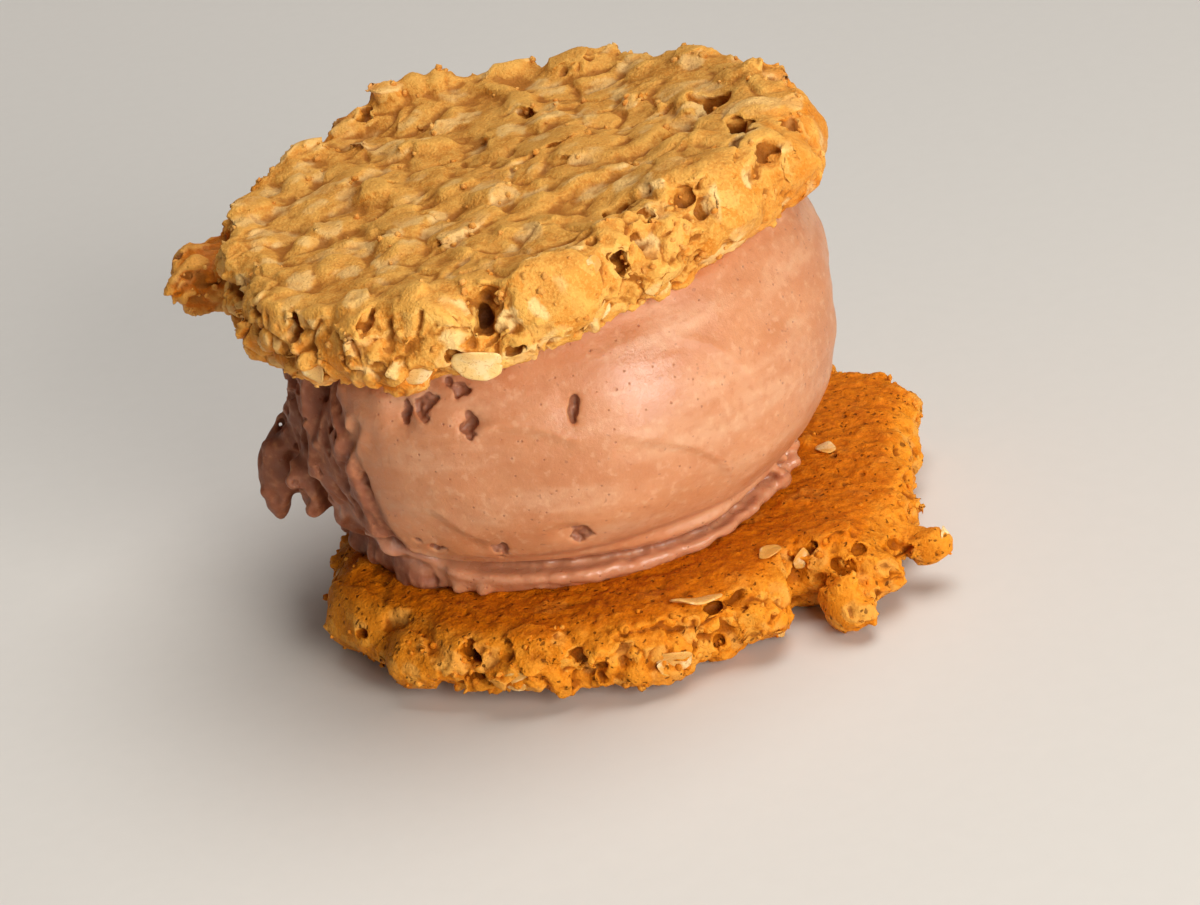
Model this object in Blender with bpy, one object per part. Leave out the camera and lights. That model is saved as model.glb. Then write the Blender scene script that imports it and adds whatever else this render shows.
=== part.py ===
"""Ice cream sandwich: two oatmeal cookies with a scoop of chocolate ice cream pressed between them.

Frame: metres, +Z up. The origin is on the table, under the middle of the lower cookie's baked face.
The lower cookie lies upside down, so its flat baked face is up and its lumpy top is down.
The upper cookie lies right way up on the scoop and leans a few degrees, its -X side low.
"""

import math

import bmesh
import bpy
from mathutils import Euler, Matrix, Vector, noise

MM = 0.001
GAP = 0.3  # left between pieces that rest on each other

# Lower cookie
LOWER_RADIUS = 46.0
LOWER_THICKNESS = 12.0
LOWER_UNDERSIDE_SHARE = 0.97  # the underside is narrower than the baked face
FOOT_RADIUS = 27.0  # the flat spot that it rests on

# Upper cookie
UPPER_RADIUS = 44.0
UPPER_THICKNESS = 13.5
UPPER_CENTRE = (-8.5, -1.0)
UPPER_LEAN_DEG = 5.6
UPPER_BASE_Z = 51.5  # height of the middle of its underside

# Scoop
SCOOP_CENTRE = (-5.6, 0.6)
SCOOP_RADIUS = 41.0
SCOOP_WAIST_Z = 34.0
SCOOP_HALF_HEIGHT = 31.0
FULL_SIDE = 0  # direction in which the scoop bulges higher up, under the cookie
FULL_SIDE_HALF_WIDTH = 80
FULL_SIDE_RAISE = 6.0  # how much higher its waist is there
FULL_SIDE_STRETCH = (4.0, 14.0)  # added to its half height over and under the waist
COLLAR_TOP_Z = 16.4  # squeezed band under the scoop's lower lip
COLLAR_CENTRE = (-8.4, 2.4)
COLLAR_RADIUS = 33.6

# Mesh densities
RIM_STEPS = 84
FACE_RINGS = 9
SIDE_RINGS = 6
SCOOP_STEPS = 72
SCOOP_RINGS = 21

# Slow swells of a rim: (direction in degrees, how far it stands out, half width in degrees)
LOWER_SWELLS = (
    (200, 4.4, 17),
    (238, 5.2, 16),
    (267, 3.6, 12),
    (286, -1.4, 9),
    (303, -5.2, 4.5),
    (314, 4.2, 6),
    (328, 2.6, 6),
    (352, -1.0, 8),
    (20, 5.6, 10),
    (30, 2.6, 5),
    (43, 4.2, 6),
    (72, -0.8, 14),
    (104, 1.6, 16),
    (140, -1.0, 12),
    (154, 2.4, 6),
    (170, -2.6, 5),
)
UPPER_SWELLS = (
    (166, 1.8, 8),
    (146, 4.6, 15),
    (120, 4.6, 9),
    (92, 3.8, 11),
    (62, 2.8, 11),
    (36, 1.6, 7),
    (12, 3.6, 9),
    (354, 3.0, 8),
    (336, 1.0, 8),
    (304, -2.8, 14),
    (269, 2.8, 9),
    (243, 3.6, 12),
    (218, 2.6, 9),
    (192, -1.0, 8),
)

# Clusters on a rim's side: (direction, how far it stands out, half width in degrees, height, half height)
LOWER_CLUSTERS = (
    (217, 2.8, 11, 3.4, 4.4),
    (226, 3.4, 8, 5.6, 3.2),
    (207, 2.4, 7, 6.6, 3.0),
    (246, 3.2, 8, 4.6, 2.8),
    (264, 2.6, 6, 5.2, 3.0),
    (276, 1.6, 4, 3.6, 2.2),
    (292, 2.6, 6, 5.6, 3.0),
    (316, 3.6, 5, 5.0, 3.0),
    (338, 2.4, 5, 6.0, 3.0),
    (6, 2.0, 6, 5.2, 3.0),
    (34, 2.2, 5, 6.0, 3.0),
    (62, 2.6, 7, 5.4, 3.0),
    (86, 3.0, 8, 6.2, 3.2),
    (112, 2.6, 7, 5.0, 3.0),
    (134, 3.2, 7, 6.0, 3.2),
    (157, 2.6, 6, 5.4, 3.0),
    (179, 2.2, 5, 6.2, 2.6),
)
UPPER_CLUSTERS = (
    (246, 4.4, 9, 5.6, 4.4),
    (226, 3.2, 7, 5.0, 4.2),
    (264, 3.6, 7, 4.2, 3.6),
    (279, 3.0, 5, 6.0, 3.0),
    (296, 2.0, 6, 5.4, 3.4),
    (318, 2.4, 7, 6.4, 3.6),
    (342, 3.4, 8, 6.6, 4.2),
    (349, 2.8, 11, 3.8, 3.4),
    (4, 2.8, 7, 5.4, 3.8),
    (28, 3.0, 8, 6.4, 4.0),
    (52, 2.6, 7, 5.4, 3.6),
    (76, 3.2, 8, 6.2, 4.0),
    (101, 2.8, 7, 5.6, 3.8),
    (124, 3.2, 8, 6.6, 4.0),
    (148, 2.6, 7, 5.8, 3.8),
    (188, 3.0, 7, 5.2, 4.0),
    (205, 4.0, 8, 6.0, 4.4),
)

# Knobs that stand up from the upper cookie's rim: (direction, distance out, height, half width)
UPPER_KNOBS = (
    (100, 44.5, 7.6, 3.2),
    (110, 45.0, 4.6, 4.0),
    (119, 45.0, 2.4, 4.4),
    (83, 42.5, 2.2, 4.6),
    (140, 42.0, 1.4, 6.0),
    (40, 40.0, 1.2, 5.0),
    (5, 39.0, 1.4, 6.0),
)

# Lumps that break out of a rim: (direction, distance out, height, half sizes across, out and up)
LOWER_LUMPS = (
    (325, 47.0, 6.6, 3.4, 6.4, 3.0),
    (317, 45.2, 5.4, 2.8, 5.2, 2.8),
    (306, 46.4, 4.6, 3.0, 6.2, 4.4),
)
UPPER_LUMPS = (
    (171, 47.6, 6.2, 5.6, 5.8, 5.4),
    (162, 44.0, 7.0, 4.6, 5.8, 4.4),
)

# Pits in the upper cookie's top: (x, y, half sizes along x, y and z, turn in degrees)
UPPER_PITS = (
    (27.0, -4.5, 2.6, 5.6, 3.6, -14),
    (31.5, 1.0, 2.8, 3.2, 3.4, 20),
    (17.0, -27.5, 3.4, 2.4, 3.4, 0),
    (8.6, 10.4, 2.2, 3.6, 2.2, -30),
)

# Dents in the scoop: (direction, height, half sizes across, deep and up, turn in its surface in degrees)
SCOOP_DENTS = (
    (269, 42.5, 1.0, 1.6, 3.0, -14),
    (249, 42.6, 1.8, 1.6, 2.6, 0),
    (234, 43.6, 2.6, 2.0, 3.2, 20),
    (266, 23.4, 2.2, 1.6, 2.4, 0),
    (247, 21.6, 2.0, 1.4, 1.7, 0),
)

# Pieces that hang out of the scoop's ragged -X side: (x, y, z, half sizes, turn about Y in degrees)
SCOOP_RAGS = (
    (-46.5, 3.0, 25.0, 6.0, 5.0, 6.2, 18),
    (-51.4, 3.0, 20.4, 2.9, 3.4, 7.0, 6),
    (-50.2, 5.0, 26.6, 4.2, 3.0, 2.4, -24),
    (-43.8, -6.0, 27.0, 3.4, 4.0, 8.0, 10),
)

COOKIE_TAN = (0.56, 0.30, 0.085, 1.0)
COOKIE_BROWN = (0.50, 0.18, 0.022, 1.0)
CHOCOLATE_CREAM = (0.66, 0.31, 0.16, 1.0)


def clear_scene():
    for obj in list(bpy.data.objects):
        bpy.data.objects.remove(obj, do_unlink=True)


def material(name, colour, roughness):
    made = bpy.data.materials.new(name)
    made.use_nodes = True
    shader = made.node_tree.nodes["Principled BSDF"]
    shader.inputs["Base Color"].default_value = colour
    shader.inputs["Roughness"].default_value = roughness
    shader.inputs["Metallic"].default_value = 0.0
    return made


def ease(x):
    """0 below 0, 1 above 1, and smooth between them."""
    x = min(1.0, max(0.0, x))
    return x * x * (3.0 - 2.0 * x)


def turn_between(a, b):
    """Degrees from one direction to another, the short way round."""
    return abs((a - b + 180.0) % 360.0 - 180.0)


def rim_reach(radius, swells, clusters, degrees, z):
    """Distance from a cookie's middle to its rim in one direction and at one height, in millimetres."""
    reach = radius
    for direction, out, half_width in swells:
        reach += out * math.exp(-((turn_between(degrees, direction) / half_width) ** 2))
    for direction, out, half_width, height, half_height in clusters:
        across = turn_between(degrees, direction) / half_width
        reach += out * math.exp(-(across**2) - ((z - height) / half_height) ** 2)
    angle = math.radians(degrees)
    return reach + noise.noise(Vector((math.cos(angle), math.sin(angle), radius)) * 7.0)


def lumpiness(point, size):
    """Height of rounded clusters of dough about size across: near 0 in the creases and 1 on the lumps."""
    near, second = noise.voronoi(point / size)[0][:2]
    return ease((second - near) * 1.6)


def rim_profile(rounding):
    """(points, spread, level) of each ring, from the middle of the upper face, round the side, to the lower face's."""
    flat_share = 1.0 - rounding
    faces = [(6 * i, flat_share * i / (FACE_RINGS + 1), 1.0) for i in range(1, FACE_RINGS + 1)]
    side = []
    for i in range(SIDE_RINGS + 1):
        angle = math.pi * i / SIDE_RINGS
        level = math.copysign(abs(math.cos(angle)) ** 0.7, math.cos(angle))
        side.append((RIM_STEPS, flat_share + rounding * math.sin(angle) ** 0.7, level))
    return faces + side + [(points, spread, -level) for points, spread, level in reversed(faces)]


def stitch(bm, loop, following):
    """Fills the band between two closed loops that may have different numbers of points."""
    i = j = 0
    while i < len(loop) or j < len(following):
        here, there = loop[i % len(loop)], following[j % len(following)]
        if j * len(loop) <= i * len(following) and j < len(following):
            j += 1
            bm.faces.new((here, there, following[j % len(following)]))
        else:
            i += 1
            bm.faces.new((here, there, loop[i % len(loop)]))


def rings_to_mesh(name, rings, top, bottom):
    """A closed mesh from rings of points and the two points that close its ends."""
    bm = bmesh.new()
    loops = [[bm.verts.new(point) for point in ring] for ring in rings]
    for loop, end in ((loops[0], bm.verts.new(top)), (loops[-1], bm.verts.new(bottom))):
        for near, far in zip(loop, loop[1:] + loop[:1]):
            bm.faces.new((end, near, far))
    for loop, following in zip(loops, loops[1:]):
        stitch(bm, loop, following)
    bmesh.ops.recalc_face_normals(bm, faces=bm.faces)
    mesh = bpy.data.meshes.new(name)
    bm.to_mesh(mesh)
    bm.free()
    mesh.shade_smooth()
    return mesh


def add_object(name, mesh, finish):
    obj = bpy.data.objects.new(name, mesh)
    if finish:
        obj.data.materials.append(finish)
    bpy.context.scene.collection.objects.link(obj)
    return obj


def turned(axis, degrees):
    return Matrix.Rotation(math.radians(degrees), 3, axis)


def lump(name, centre, half_sizes, turn, unevenness):
    """An uneven ball of dough or ice cream, in millimetres."""
    bm = bmesh.new()
    bmesh.ops.create_icosphere(bm, subdivisions=2, radius=1.0)
    for vert in bm.verts:
        wobble = 1.0 + unevenness * noise.noise(vert.co * 1.7 + Vector(centre))
        shaped = Vector([vert.co[i] * half_sizes[i] * wobble for i in range(3)])
        vert.co = (turn @ shaped + Vector(centre)) * MM
    mesh = bpy.data.meshes.new(name)
    bm.to_mesh(mesh)
    bm.free()
    mesh.shade_smooth()
    return mesh


def boolean(obj, operation, helper):
    helper.hide_render = True
    helper.display_type = "WIRE"
    modifier = obj.modifiers.new(operation.title() + " " + helper.name, "BOOLEAN")
    modifier.operation = operation
    modifier.object = helper
    modifier.solver = "EXACT"


def add_rim_lumps(cookie, lumps):
    for number, (direction, out, height, across, along, up) in enumerate(lumps, start=1):
        turn = turned("Z", direction)
        centre = turn @ Vector((out, 0, height))
        mesh = lump(f"{cookie.name} lump {number}", centre, (along, across, up), turn, 0.22)
        helper = add_object(mesh.name, mesh, None)
        helper.parent = cookie
        boolean(cookie, "UNION", helper)


def cut_pits(cookie, pits, surface_z):
    for number, (x, y, half_x, half_y, half_z, degrees) in enumerate(pits, start=1):
        half_sizes = (half_x, half_y, half_z)
        mesh = lump(f"{cookie.name} pit {number}", (x, y, surface_z), half_sizes, turned("Z", degrees), 0.3)
        helper = add_object(mesh.name, mesh, None)
        helper.parent = cookie
        boolean(cookie, "DIFFERENCE", helper)


def cut_dents(scoop):
    for number, (direction, z, across, deep, up, degrees) in enumerate(SCOOP_DENTS, start=1):
        angle = math.radians(direction)
        reach = scoop_radius_at(z, direction) + smears(direction, z)
        middle_x, middle_y = scoop_middle_at(z)
        centre = (middle_x + reach * math.cos(angle), middle_y + reach * math.sin(angle), z)
        slope = math.degrees(math.atan2(scoop_radius_at(z + 1.0, direction) - scoop_radius_at(z - 1.0, direction), 2.0))
        turn = turned("Z", direction) @ turned("Y", slope) @ turned("X", degrees)
        mesh = lump(f"dent {number}", centre, (deep, across, up), turn, 0.3)
        boolean(scoop, "DIFFERENCE", add_object(mesh.name, mesh, None))


def knob_rise(point):
    """How far the knobs near the upper cookie's rim lift its top."""
    rise = 0.0
    for direction, out, height, half_width in UPPER_KNOBS:
        angle = math.radians(direction)
        away = math.hypot(point.x - out * math.cos(angle), point.y - out * math.sin(angle))
        rise += height * math.exp(-((away / half_width) ** 2))
    return rise


def upper_cookie_point(degrees, spread, level):
    """Right way up: a gently hollowed and rippled top, a tall crumbly side and a flat baked underside."""
    angle = math.radians(degrees)
    z = UPPER_THICKNESS * (0.5 + 0.5 * level)
    reach = rim_reach(UPPER_RADIUS, UPPER_SWELLS, UPPER_CLUSTERS, degrees, z)
    side = ease((spread - 0.80) / 0.2)
    flat = Vector((reach * spread * math.cos(angle), reach * spread * math.sin(angle), z))
    cluster = lumpiness(flat, 8.5)
    shrink = 1.0 - side * (0.05 * (1.0 - cluster) + 0.015 * (1.0 - level))
    if level > 0.0:
        ripple = 1.1 * noise.noise(flat / 10.0) + 0.8 * noise.noise(flat / 5.0) + 0.5 * (cluster - 1.0)
        raised_rim = 0.8 * math.exp(-(((spread - 0.87) / 0.09) ** 2))
        z += level * (ripple * (1.0 - 0.4 * side) + raised_rim + knob_rise(flat))
    return Vector((flat.x * shrink, flat.y * shrink, z))


def lower_cookie_point(degrees, spread, level):
    """Upside down: the flat baked face on top, and the lumpy side drawn in to a flat spot underneath."""
    angle = math.radians(degrees)
    z = LOWER_THICKNESS * (0.5 + 0.5 * level)
    reach = rim_reach(LOWER_RADIUS, LOWER_SWELLS, LOWER_CLUSTERS, degrees, z)
    side = ease((spread - 0.78) / 0.2)
    underside = ease(0.5 - 0.5 * level)
    flat = Vector((reach * spread * math.cos(angle), reach * spread * math.sin(angle), z))
    cluster = lumpiness(flat + Vector((31.0, 0.0, 0.0)), 8.0)
    shrink = (1.0 - side * 0.05 * (1.0 - cluster)) * (1.0 - (1.0 - LOWER_UNDERSIDE_SHARE) * underside)
    if level > 0.0:
        droop = ease((spread - 0.84) / 0.16)
        z += level * droop * (0.9 * noise.noise(flat / 7.0) - 0.7)
    else:
        off_foot = max(0.0, spread * reach - FOOT_RADIUS)
        z += underside * min(1.0, off_foot / 6.0) * (0.7 * (1.0 - cluster) + 0.02 * off_foot)
    return Vector((flat.x * shrink, flat.y * shrink, z))


def cookie_mesh(name, point_at, rounding, thickness):
    rings = []
    for points, spread, level in rim_profile(rounding):
        rings.append([point_at(360.0 * step / points, spread, level) * MM for step in range(points)])
    return rings_to_mesh(name, rings, Vector((0, 0, thickness)) * MM, Vector((0, 0, 0)))


def scoop_radius_at(z, degrees):
    """The ball's radius at a height, with the squeezed collar and the crease over it at the bottom."""
    fuller = ease(1.0 - turn_between(degrees, FULL_SIDE) / FULL_SIDE_HALF_WIDTH)
    rise = z - SCOOP_WAIST_Z - FULL_SIDE_RAISE * fuller
    rise /= SCOOP_HALF_HEIGHT + FULL_SIDE_STRETCH[0 if rise > 0.0 else 1] * fuller
    ball = SCOOP_RADIUS * math.sqrt(max(0.0, 1.0 - rise * rise)) ** 0.9
    in_collar = min(1.0, max(0.0, (z - LOWER_THICKNESS) / (COLLAR_TOP_Z - LOWER_THICKNESS)))
    collar = COLLAR_RADIUS + 1.1 * math.sin(math.pi * in_collar)
    crease = math.exp(-(((z - COLLAR_TOP_Z) / 0.9) ** 2))
    over_collar = ease((z - COLLAR_TOP_Z) / 1.8)
    return collar + (max(ball, COLLAR_RADIUS) - collar) * over_collar - 1.2 * crease


def scoop_middle_at(z):
    """The collar sits a little to one side of the ball."""
    share = ease((z - COLLAR_TOP_Z) / 12.0)
    return [low + (high - low) * share for low, high in zip(COLLAR_CENTRE, SCOOP_CENTRE)]


def folds(degrees, z):
    """The torn, folded -X side of the scoop: upright ridges with hollows between them."""
    share = ease(1.0 - turn_between(degrees, 196.0) / 34.0) * ease((z - 18.0) / 6.0)
    wave = math.cos(math.radians(degrees) * 19.0 + 0.06 * z)
    return share * (2.2 * wave - 0.8)


def smears(degrees, z):
    """Low swells and dents that a scoop's sliding edge leaves."""
    angle = math.radians(degrees)
    around = Vector((math.cos(angle) * SCOOP_RADIUS, math.sin(angle) * SCOOP_RADIUS, z))
    return 0.9 * noise.noise(around / 17.0) + 0.35 * noise.noise(around / 8.0)


def scoop_mesh(low_z, high_z):
    rings = []
    for i in range(SCOOP_RINGS + 1):
        z = high_z + (low_z - high_z) * i / SCOOP_RINGS
        middle_x, middle_y = scoop_middle_at(z)
        ring = []
        for step in range(SCOOP_STEPS):
            degrees = 360.0 * step / SCOOP_STEPS
            angle = math.radians(degrees)
            reach = scoop_radius_at(z, degrees) + folds(degrees, z) + smears(degrees, z)
            ring.append(Vector((middle_x + reach * math.cos(angle), middle_y + reach * math.sin(angle), z)) * MM)
        rings.append(ring)
    top = Vector((*SCOOP_CENTRE, high_z)) * MM
    bottom = Vector((*COLLAR_CENTRE, low_z)) * MM
    return rings_to_mesh("ice_cream", rings, top, bottom)


def upper_cookie_pose():
    """Where the upper cookie's own frame sits, in millimetres, and how it leans."""
    lean = Euler((0.0, -math.radians(UPPER_LEAN_DEG), 0.0))
    return Vector((UPPER_CENTRE[0], UPPER_CENTRE[1], UPPER_BASE_Z)), lean


def cut_to_upper_cookie(scoop):
    """Cuts the scoop's top flat, parallel to the leaning cookie and a little below it."""
    seat, lean = upper_cookie_pose()
    size, depth = 140.0, 40.0
    bm = bmesh.new()
    bmesh.ops.create_cube(bm, size=1.0)
    for vert in bm.verts:
        flat = Vector((vert.co.x * size, vert.co.y * size, (vert.co.z + 0.5) * depth - GAP))
        vert.co = (lean.to_matrix() @ flat + seat) * MM
    mesh = bpy.data.meshes.new("seat cutter")
    bm.to_mesh(mesh)
    bm.free()
    boolean(scoop, "DIFFERENCE", add_object("seat cutter", mesh, None))


def add_scoop_rags(scoop):
    for number, (x, y, z, half_x, half_y, half_z, degrees) in enumerate(SCOOP_RAGS, start=1):
        mesh = lump(f"rag {number}", (x, y, z), (half_x, half_y, half_z), turned("Y", degrees), 0.35)
        boolean(scoop, "UNION", add_object(mesh.name, mesh, None))


def build():
    clear_scene()
    sandwich = bpy.data.objects.new("sandwich", None)
    bpy.context.scene.collection.objects.link(sandwich)

    mesh = cookie_mesh("lower_cookie", lower_cookie_point, 0.12, LOWER_THICKNESS)
    lower = add_object("lower_cookie", mesh, material("baked face", COOKIE_BROWN, 0.75))
    add_rim_lumps(lower, LOWER_LUMPS)

    scoop = add_object(
        "ice_cream",
        scoop_mesh(LOWER_THICKNESS + GAP, UPPER_BASE_Z + 8.0),
        material("chocolate ice cream", CHOCOLATE_CREAM, 0.45),
    )
    add_scoop_rags(scoop)
    cut_dents(scoop)
    cut_to_upper_cookie(scoop)

    mesh = cookie_mesh("upper_cookie", upper_cookie_point, 0.13, UPPER_THICKNESS)
    upper = add_object("upper_cookie", mesh, material("oat cookie", COOKIE_TAN, 0.8))
    add_rim_lumps(upper, UPPER_LUMPS)
    cut_pits(upper, UPPER_PITS, UPPER_THICKNESS)
    seat, lean = upper_cookie_pose()
    upper.location = seat * MM
    upper.rotation_euler = lean

    for piece in (lower, scoop, upper):
        piece.parent = sandwich


build()
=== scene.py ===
import math
from functools import partial

import bpy
import numpy as np
from mathutils import Matrix, Vector
from mathutils.bvhtree import BVHTree


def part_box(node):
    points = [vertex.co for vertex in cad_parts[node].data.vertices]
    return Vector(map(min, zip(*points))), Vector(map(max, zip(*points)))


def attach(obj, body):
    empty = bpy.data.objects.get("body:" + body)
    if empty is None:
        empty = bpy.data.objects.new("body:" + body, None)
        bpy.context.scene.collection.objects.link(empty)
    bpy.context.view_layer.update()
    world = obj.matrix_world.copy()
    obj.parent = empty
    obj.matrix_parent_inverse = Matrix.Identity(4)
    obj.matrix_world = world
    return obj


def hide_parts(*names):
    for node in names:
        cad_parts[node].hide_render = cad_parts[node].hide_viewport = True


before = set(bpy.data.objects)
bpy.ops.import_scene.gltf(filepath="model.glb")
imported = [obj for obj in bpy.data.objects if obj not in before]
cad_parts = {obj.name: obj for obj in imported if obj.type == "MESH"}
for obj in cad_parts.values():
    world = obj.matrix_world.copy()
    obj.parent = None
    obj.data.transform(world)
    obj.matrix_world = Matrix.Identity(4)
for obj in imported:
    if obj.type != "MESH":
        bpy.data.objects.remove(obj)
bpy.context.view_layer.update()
mm = 0.001  # every size below is in millimetres, and every mesh in metres
print("frame loaded:", ", ".join(sorted(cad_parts)))


def select(obj):
    bpy.ops.object.select_all(action="DESELECT")
    obj.select_set(True)
    bpy.context.view_layer.objects.active = obj


def modify(obj, kind, **settings):
    select(obj)
    bpy.ops.object.modifier_add(type=kind)
    modifier = obj.modifiers[-1]
    for key, value in settings.items():
        setattr(modifier, key, value)
    bpy.ops.object.modifier_apply(modifier=modifier.name)


def remesh(obj, size):
    modify(obj, "REMESH", mode="VOXEL", voxel_size=size * mm)


def getPoints(obj):
    flat = np.empty(len(obj.data.vertices) * 3, np.float32)
    obj.data.vertices.foreach_get("co", flat)
    return flat.reshape(-1, 3).astype(float) / mm


def setPoints(obj, points):
    obj.data.vertices.foreach_set("co", (points * mm).astype(np.float32).ravel())
    obj.data.update()


def getNormals(obj):
    flat = np.empty(len(obj.data.vertices) * 3, np.float32)
    obj.data.vertex_normals.foreach_get("vector", flat)
    return flat.reshape(-1, 3).astype(float)


def getTriangles(obj):
    obj.data.calc_loop_triangles()
    flat = np.empty(len(obj.data.loop_triangles) * 3, np.int32)
    obj.data.loop_triangles.foreach_get("vertices", flat)
    return flat.reshape(-1, 3)


def setNumber(obj, name, values):
    layer = obj.data.attributes.new(name, "FLOAT", "POINT")
    layer.data.foreach_set("value", values.astype(np.float32))


def duplicate(obj, name):
    made = bpy.data.objects.new(name, obj.data.copy())
    bpy.context.scene.collection.objects.link(made)
    return made


def discard(*objs):
    for obj in objs:
        mesh = obj.data
        bpy.data.objects.remove(obj)
        bpy.data.meshes.remove(mesh)


def copyOfNode(node, name):
    made = duplicate(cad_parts[node], name)
    made.data.materials.clear()
    select(made)
    bpy.ops.object.mode_set(mode="EDIT")
    bpy.ops.mesh.select_all(action="SELECT")
    bpy.ops.mesh.remove_doubles(threshold=0.001 * mm)
    bpy.ops.mesh.normals_make_consistent(inside=False)
    bpy.ops.object.mode_set(mode="OBJECT")
    return made


def meshFrom(name, points, triangles):
    mesh = bpy.data.meshes.new(name)
    mesh.vertices.add(len(points))
    mesh.vertices.foreach_set("co", (points * mm).astype(np.float32).ravel())
    mesh.loops.add(triangles.size)
    mesh.loops.foreach_set("vertex_index", triangles.astype(np.int32).ravel())
    mesh.polygons.add(len(triangles))
    mesh.polygons.foreach_set("loop_start", np.arange(0, triangles.size, 3, dtype=np.int32))
    mesh.update()
    mesh.validate()
    made = bpy.data.objects.new(name, mesh)
    bpy.context.scene.collection.objects.link(made)
    return made


def join(objs, name):
    select(objs[0])
    for obj in objs[1:]:
        obj.select_set(True)
    bpy.ops.object.join()
    objs[0].name = name
    return objs[0]


def ease(x):
    x = np.clip(x, 0.0, 1.0)
    return x * x * (3.0 - 2.0 * x)


# random numbers from -1 to 1, always the same for a cell of space
def chanceAt(cell, seed):
    key = (cell * np.array([73856093, 19349663, 83492791])).sum(1) + seed * 7919
    key = (key ^ (key >> 13)) * 1274126177 & 0x7FFFFFFF
    key = (key ^ (key >> 15)) * 668265263 & 0x7FFFFFFF
    return (key % 65536) / 32767.5 - 1.0


# smooth noise from -1 to 1, with bumps about size across
def noiseAt(points, size, seed=0):
    at = points / size + seed * 17.31
    cell = np.floor(at).astype(np.int64)
    part = ease(at - cell)
    total = np.zeros(len(points))
    for corner in range(8):
        step = np.array([corner & 1, corner >> 1 & 1, corner >> 2 & 1])
        total += np.where(step, part, 1.0 - part).prod(1) * chanceAt(cell + step, seed)
    return total


# grains about size across: how domed each point is in its grain from 0 to 1, and how far it is from a crack between grains
def grainsAt(points, size, seed=0):
    at = points / size + seed * 9.17
    cell = np.floor(at).astype(np.int64)
    first, second = np.full(len(points), 9.0), np.full(len(points), 9.0)
    for step in np.ndindex(3, 3, 3):
        there = cell + np.array(step) - 1
        centre = there + 0.5 + 0.42 * np.column_stack([chanceAt(there, seed + 100 * i) for i in range(3)])
        away = ((at - centre) ** 2).sum(1)
        second = np.minimum(second, np.maximum(first, away))
        first = np.minimum(first, away)
    return 1 - np.clip(np.sqrt(first), 0, 1), np.sqrt(second) - np.sqrt(first)


# where the points would be after smoothing
def relaxed(obj, rounds, factor=0.5):
    shadow = duplicate(obj, "shadow")
    modify(shadow, "SMOOTH", factor=factor, iterations=rounds)
    points = getPoints(shadow)
    discard(shadow)
    return points


def relax(obj, rounds, share=1.0, factor=0.5):
    points = getPoints(obj)
    setPoints(obj, points + (relaxed(obj, rounds, factor) - points) * np.reshape(share, (-1, 1)))


# millimetres below the surface's own average: above 0 in hollows, below 0 on ridges
def hollowness(obj, rounds):
    return ((relaxed(obj, rounds) - getPoints(obj)) * getNormals(obj)).sum(1)


def treeOf(obj):
    return BVHTree.FromPolygons(getPoints(obj).tolist(), getTriangles(obj).tolist())


def distanceTo(tree, points):
    return np.array([tree.find_nearest(point)[3] for point in points])


# how far below the smooth shape each point lies, in millimetres
def depthUnder(tree, points):
    found = [tree.find_nearest(point)[:2] for point in points]
    spots, normals = (np.array([pair[i] for pair in found]) for i in range(2))
    return ((spots - points) * normals).sum(1)


# points brought back to stand no further out than most millimetres over a smooth shape
def heldIn(tree, points, most):
    found = [tree.find_nearest(point)[:2] for point in points]
    spots, normals = (np.array([pair[i] for pair in found]) for i in range(2))
    proud = ((points - spots) * normals).sum(1)
    return points - normals * (0.85 * np.clip(proud - most, 0.0, None))[:, None]


# how near each point is to the middle of any of some (place, reach) spots, from 0 to 1
def nearAny(points, spots):
    near = np.zeros(len(points))
    for place, reach in spots:
        near = np.maximum(near, 1 - ease((np.linalg.norm(points - place, axis=1) / reach - 0.6) / 0.4))
    return near


# deletes the crumbs of mesh that hang free of the piece
def keepLargest(obj):
    ends = np.empty(len(obj.data.edges) * 2, np.int32)
    obj.data.edges.foreach_get("vertices", ends)
    starts, ends = ends.reshape(-1, 2).T
    group, before = np.arange(len(obj.data.vertices)), None
    while before is None or (group != before).any():
        before = group.copy()
        lowest = np.minimum(group[starts], group[ends])
        np.minimum.at(group, before[starts], lowest)
        np.minimum.at(group, before[ends], lowest)
        group = group[group]
    stray = group != np.bincount(group).argmax()
    select(obj)
    bpy.ops.object.mode_set(mode="EDIT")
    bpy.ops.mesh.select_mode(type="VERT")
    bpy.ops.mesh.select_all(action="DESELECT")
    bpy.ops.object.mode_set(mode="OBJECT")
    obj.data.vertices.foreach_set("select", stray)
    bpy.ops.object.mode_set(mode="EDIT")
    bpy.ops.mesh.delete(type="VERT")
    bpy.ops.object.mode_set(mode="OBJECT")


# a thinned piece, of at most 194,000 triangles unless another limit is given; a thin
# piece under the limit of 200,000 triangles
def thin(obj, limit=194000):
    triangles = len(getTriangles(obj))
    if triangles > limit:
        modify(obj, "TRIANGULATE")
        modify(obj, "DECIMATE", ratio=limit / triangles)
    print(f"  {obj.name}: {len(getTriangles(obj))} triangles")


# Masters are modelled about 1 metre in half size, and copies are scaled down from them.
def takeMaster(obj):
    master = (getPoints(obj) * mm, getTriangles(obj))
    discard(obj)
    return master


def crumbMaster(seed, subdivisions, roughness):
    bpy.ops.mesh.primitive_ico_sphere_add(subdivisions=subdivisions, radius=1.0)
    obj = bpy.context.object
    points = getPoints(obj) * mm
    swell = 1.0 + roughness * noiseAt(points, 0.8, seed) + 0.5 * roughness * noiseAt(points, 0.35, seed + 5)
    setPoints(obj, points * swell[:, None] / mm)
    return takeMaster(obj)


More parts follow.
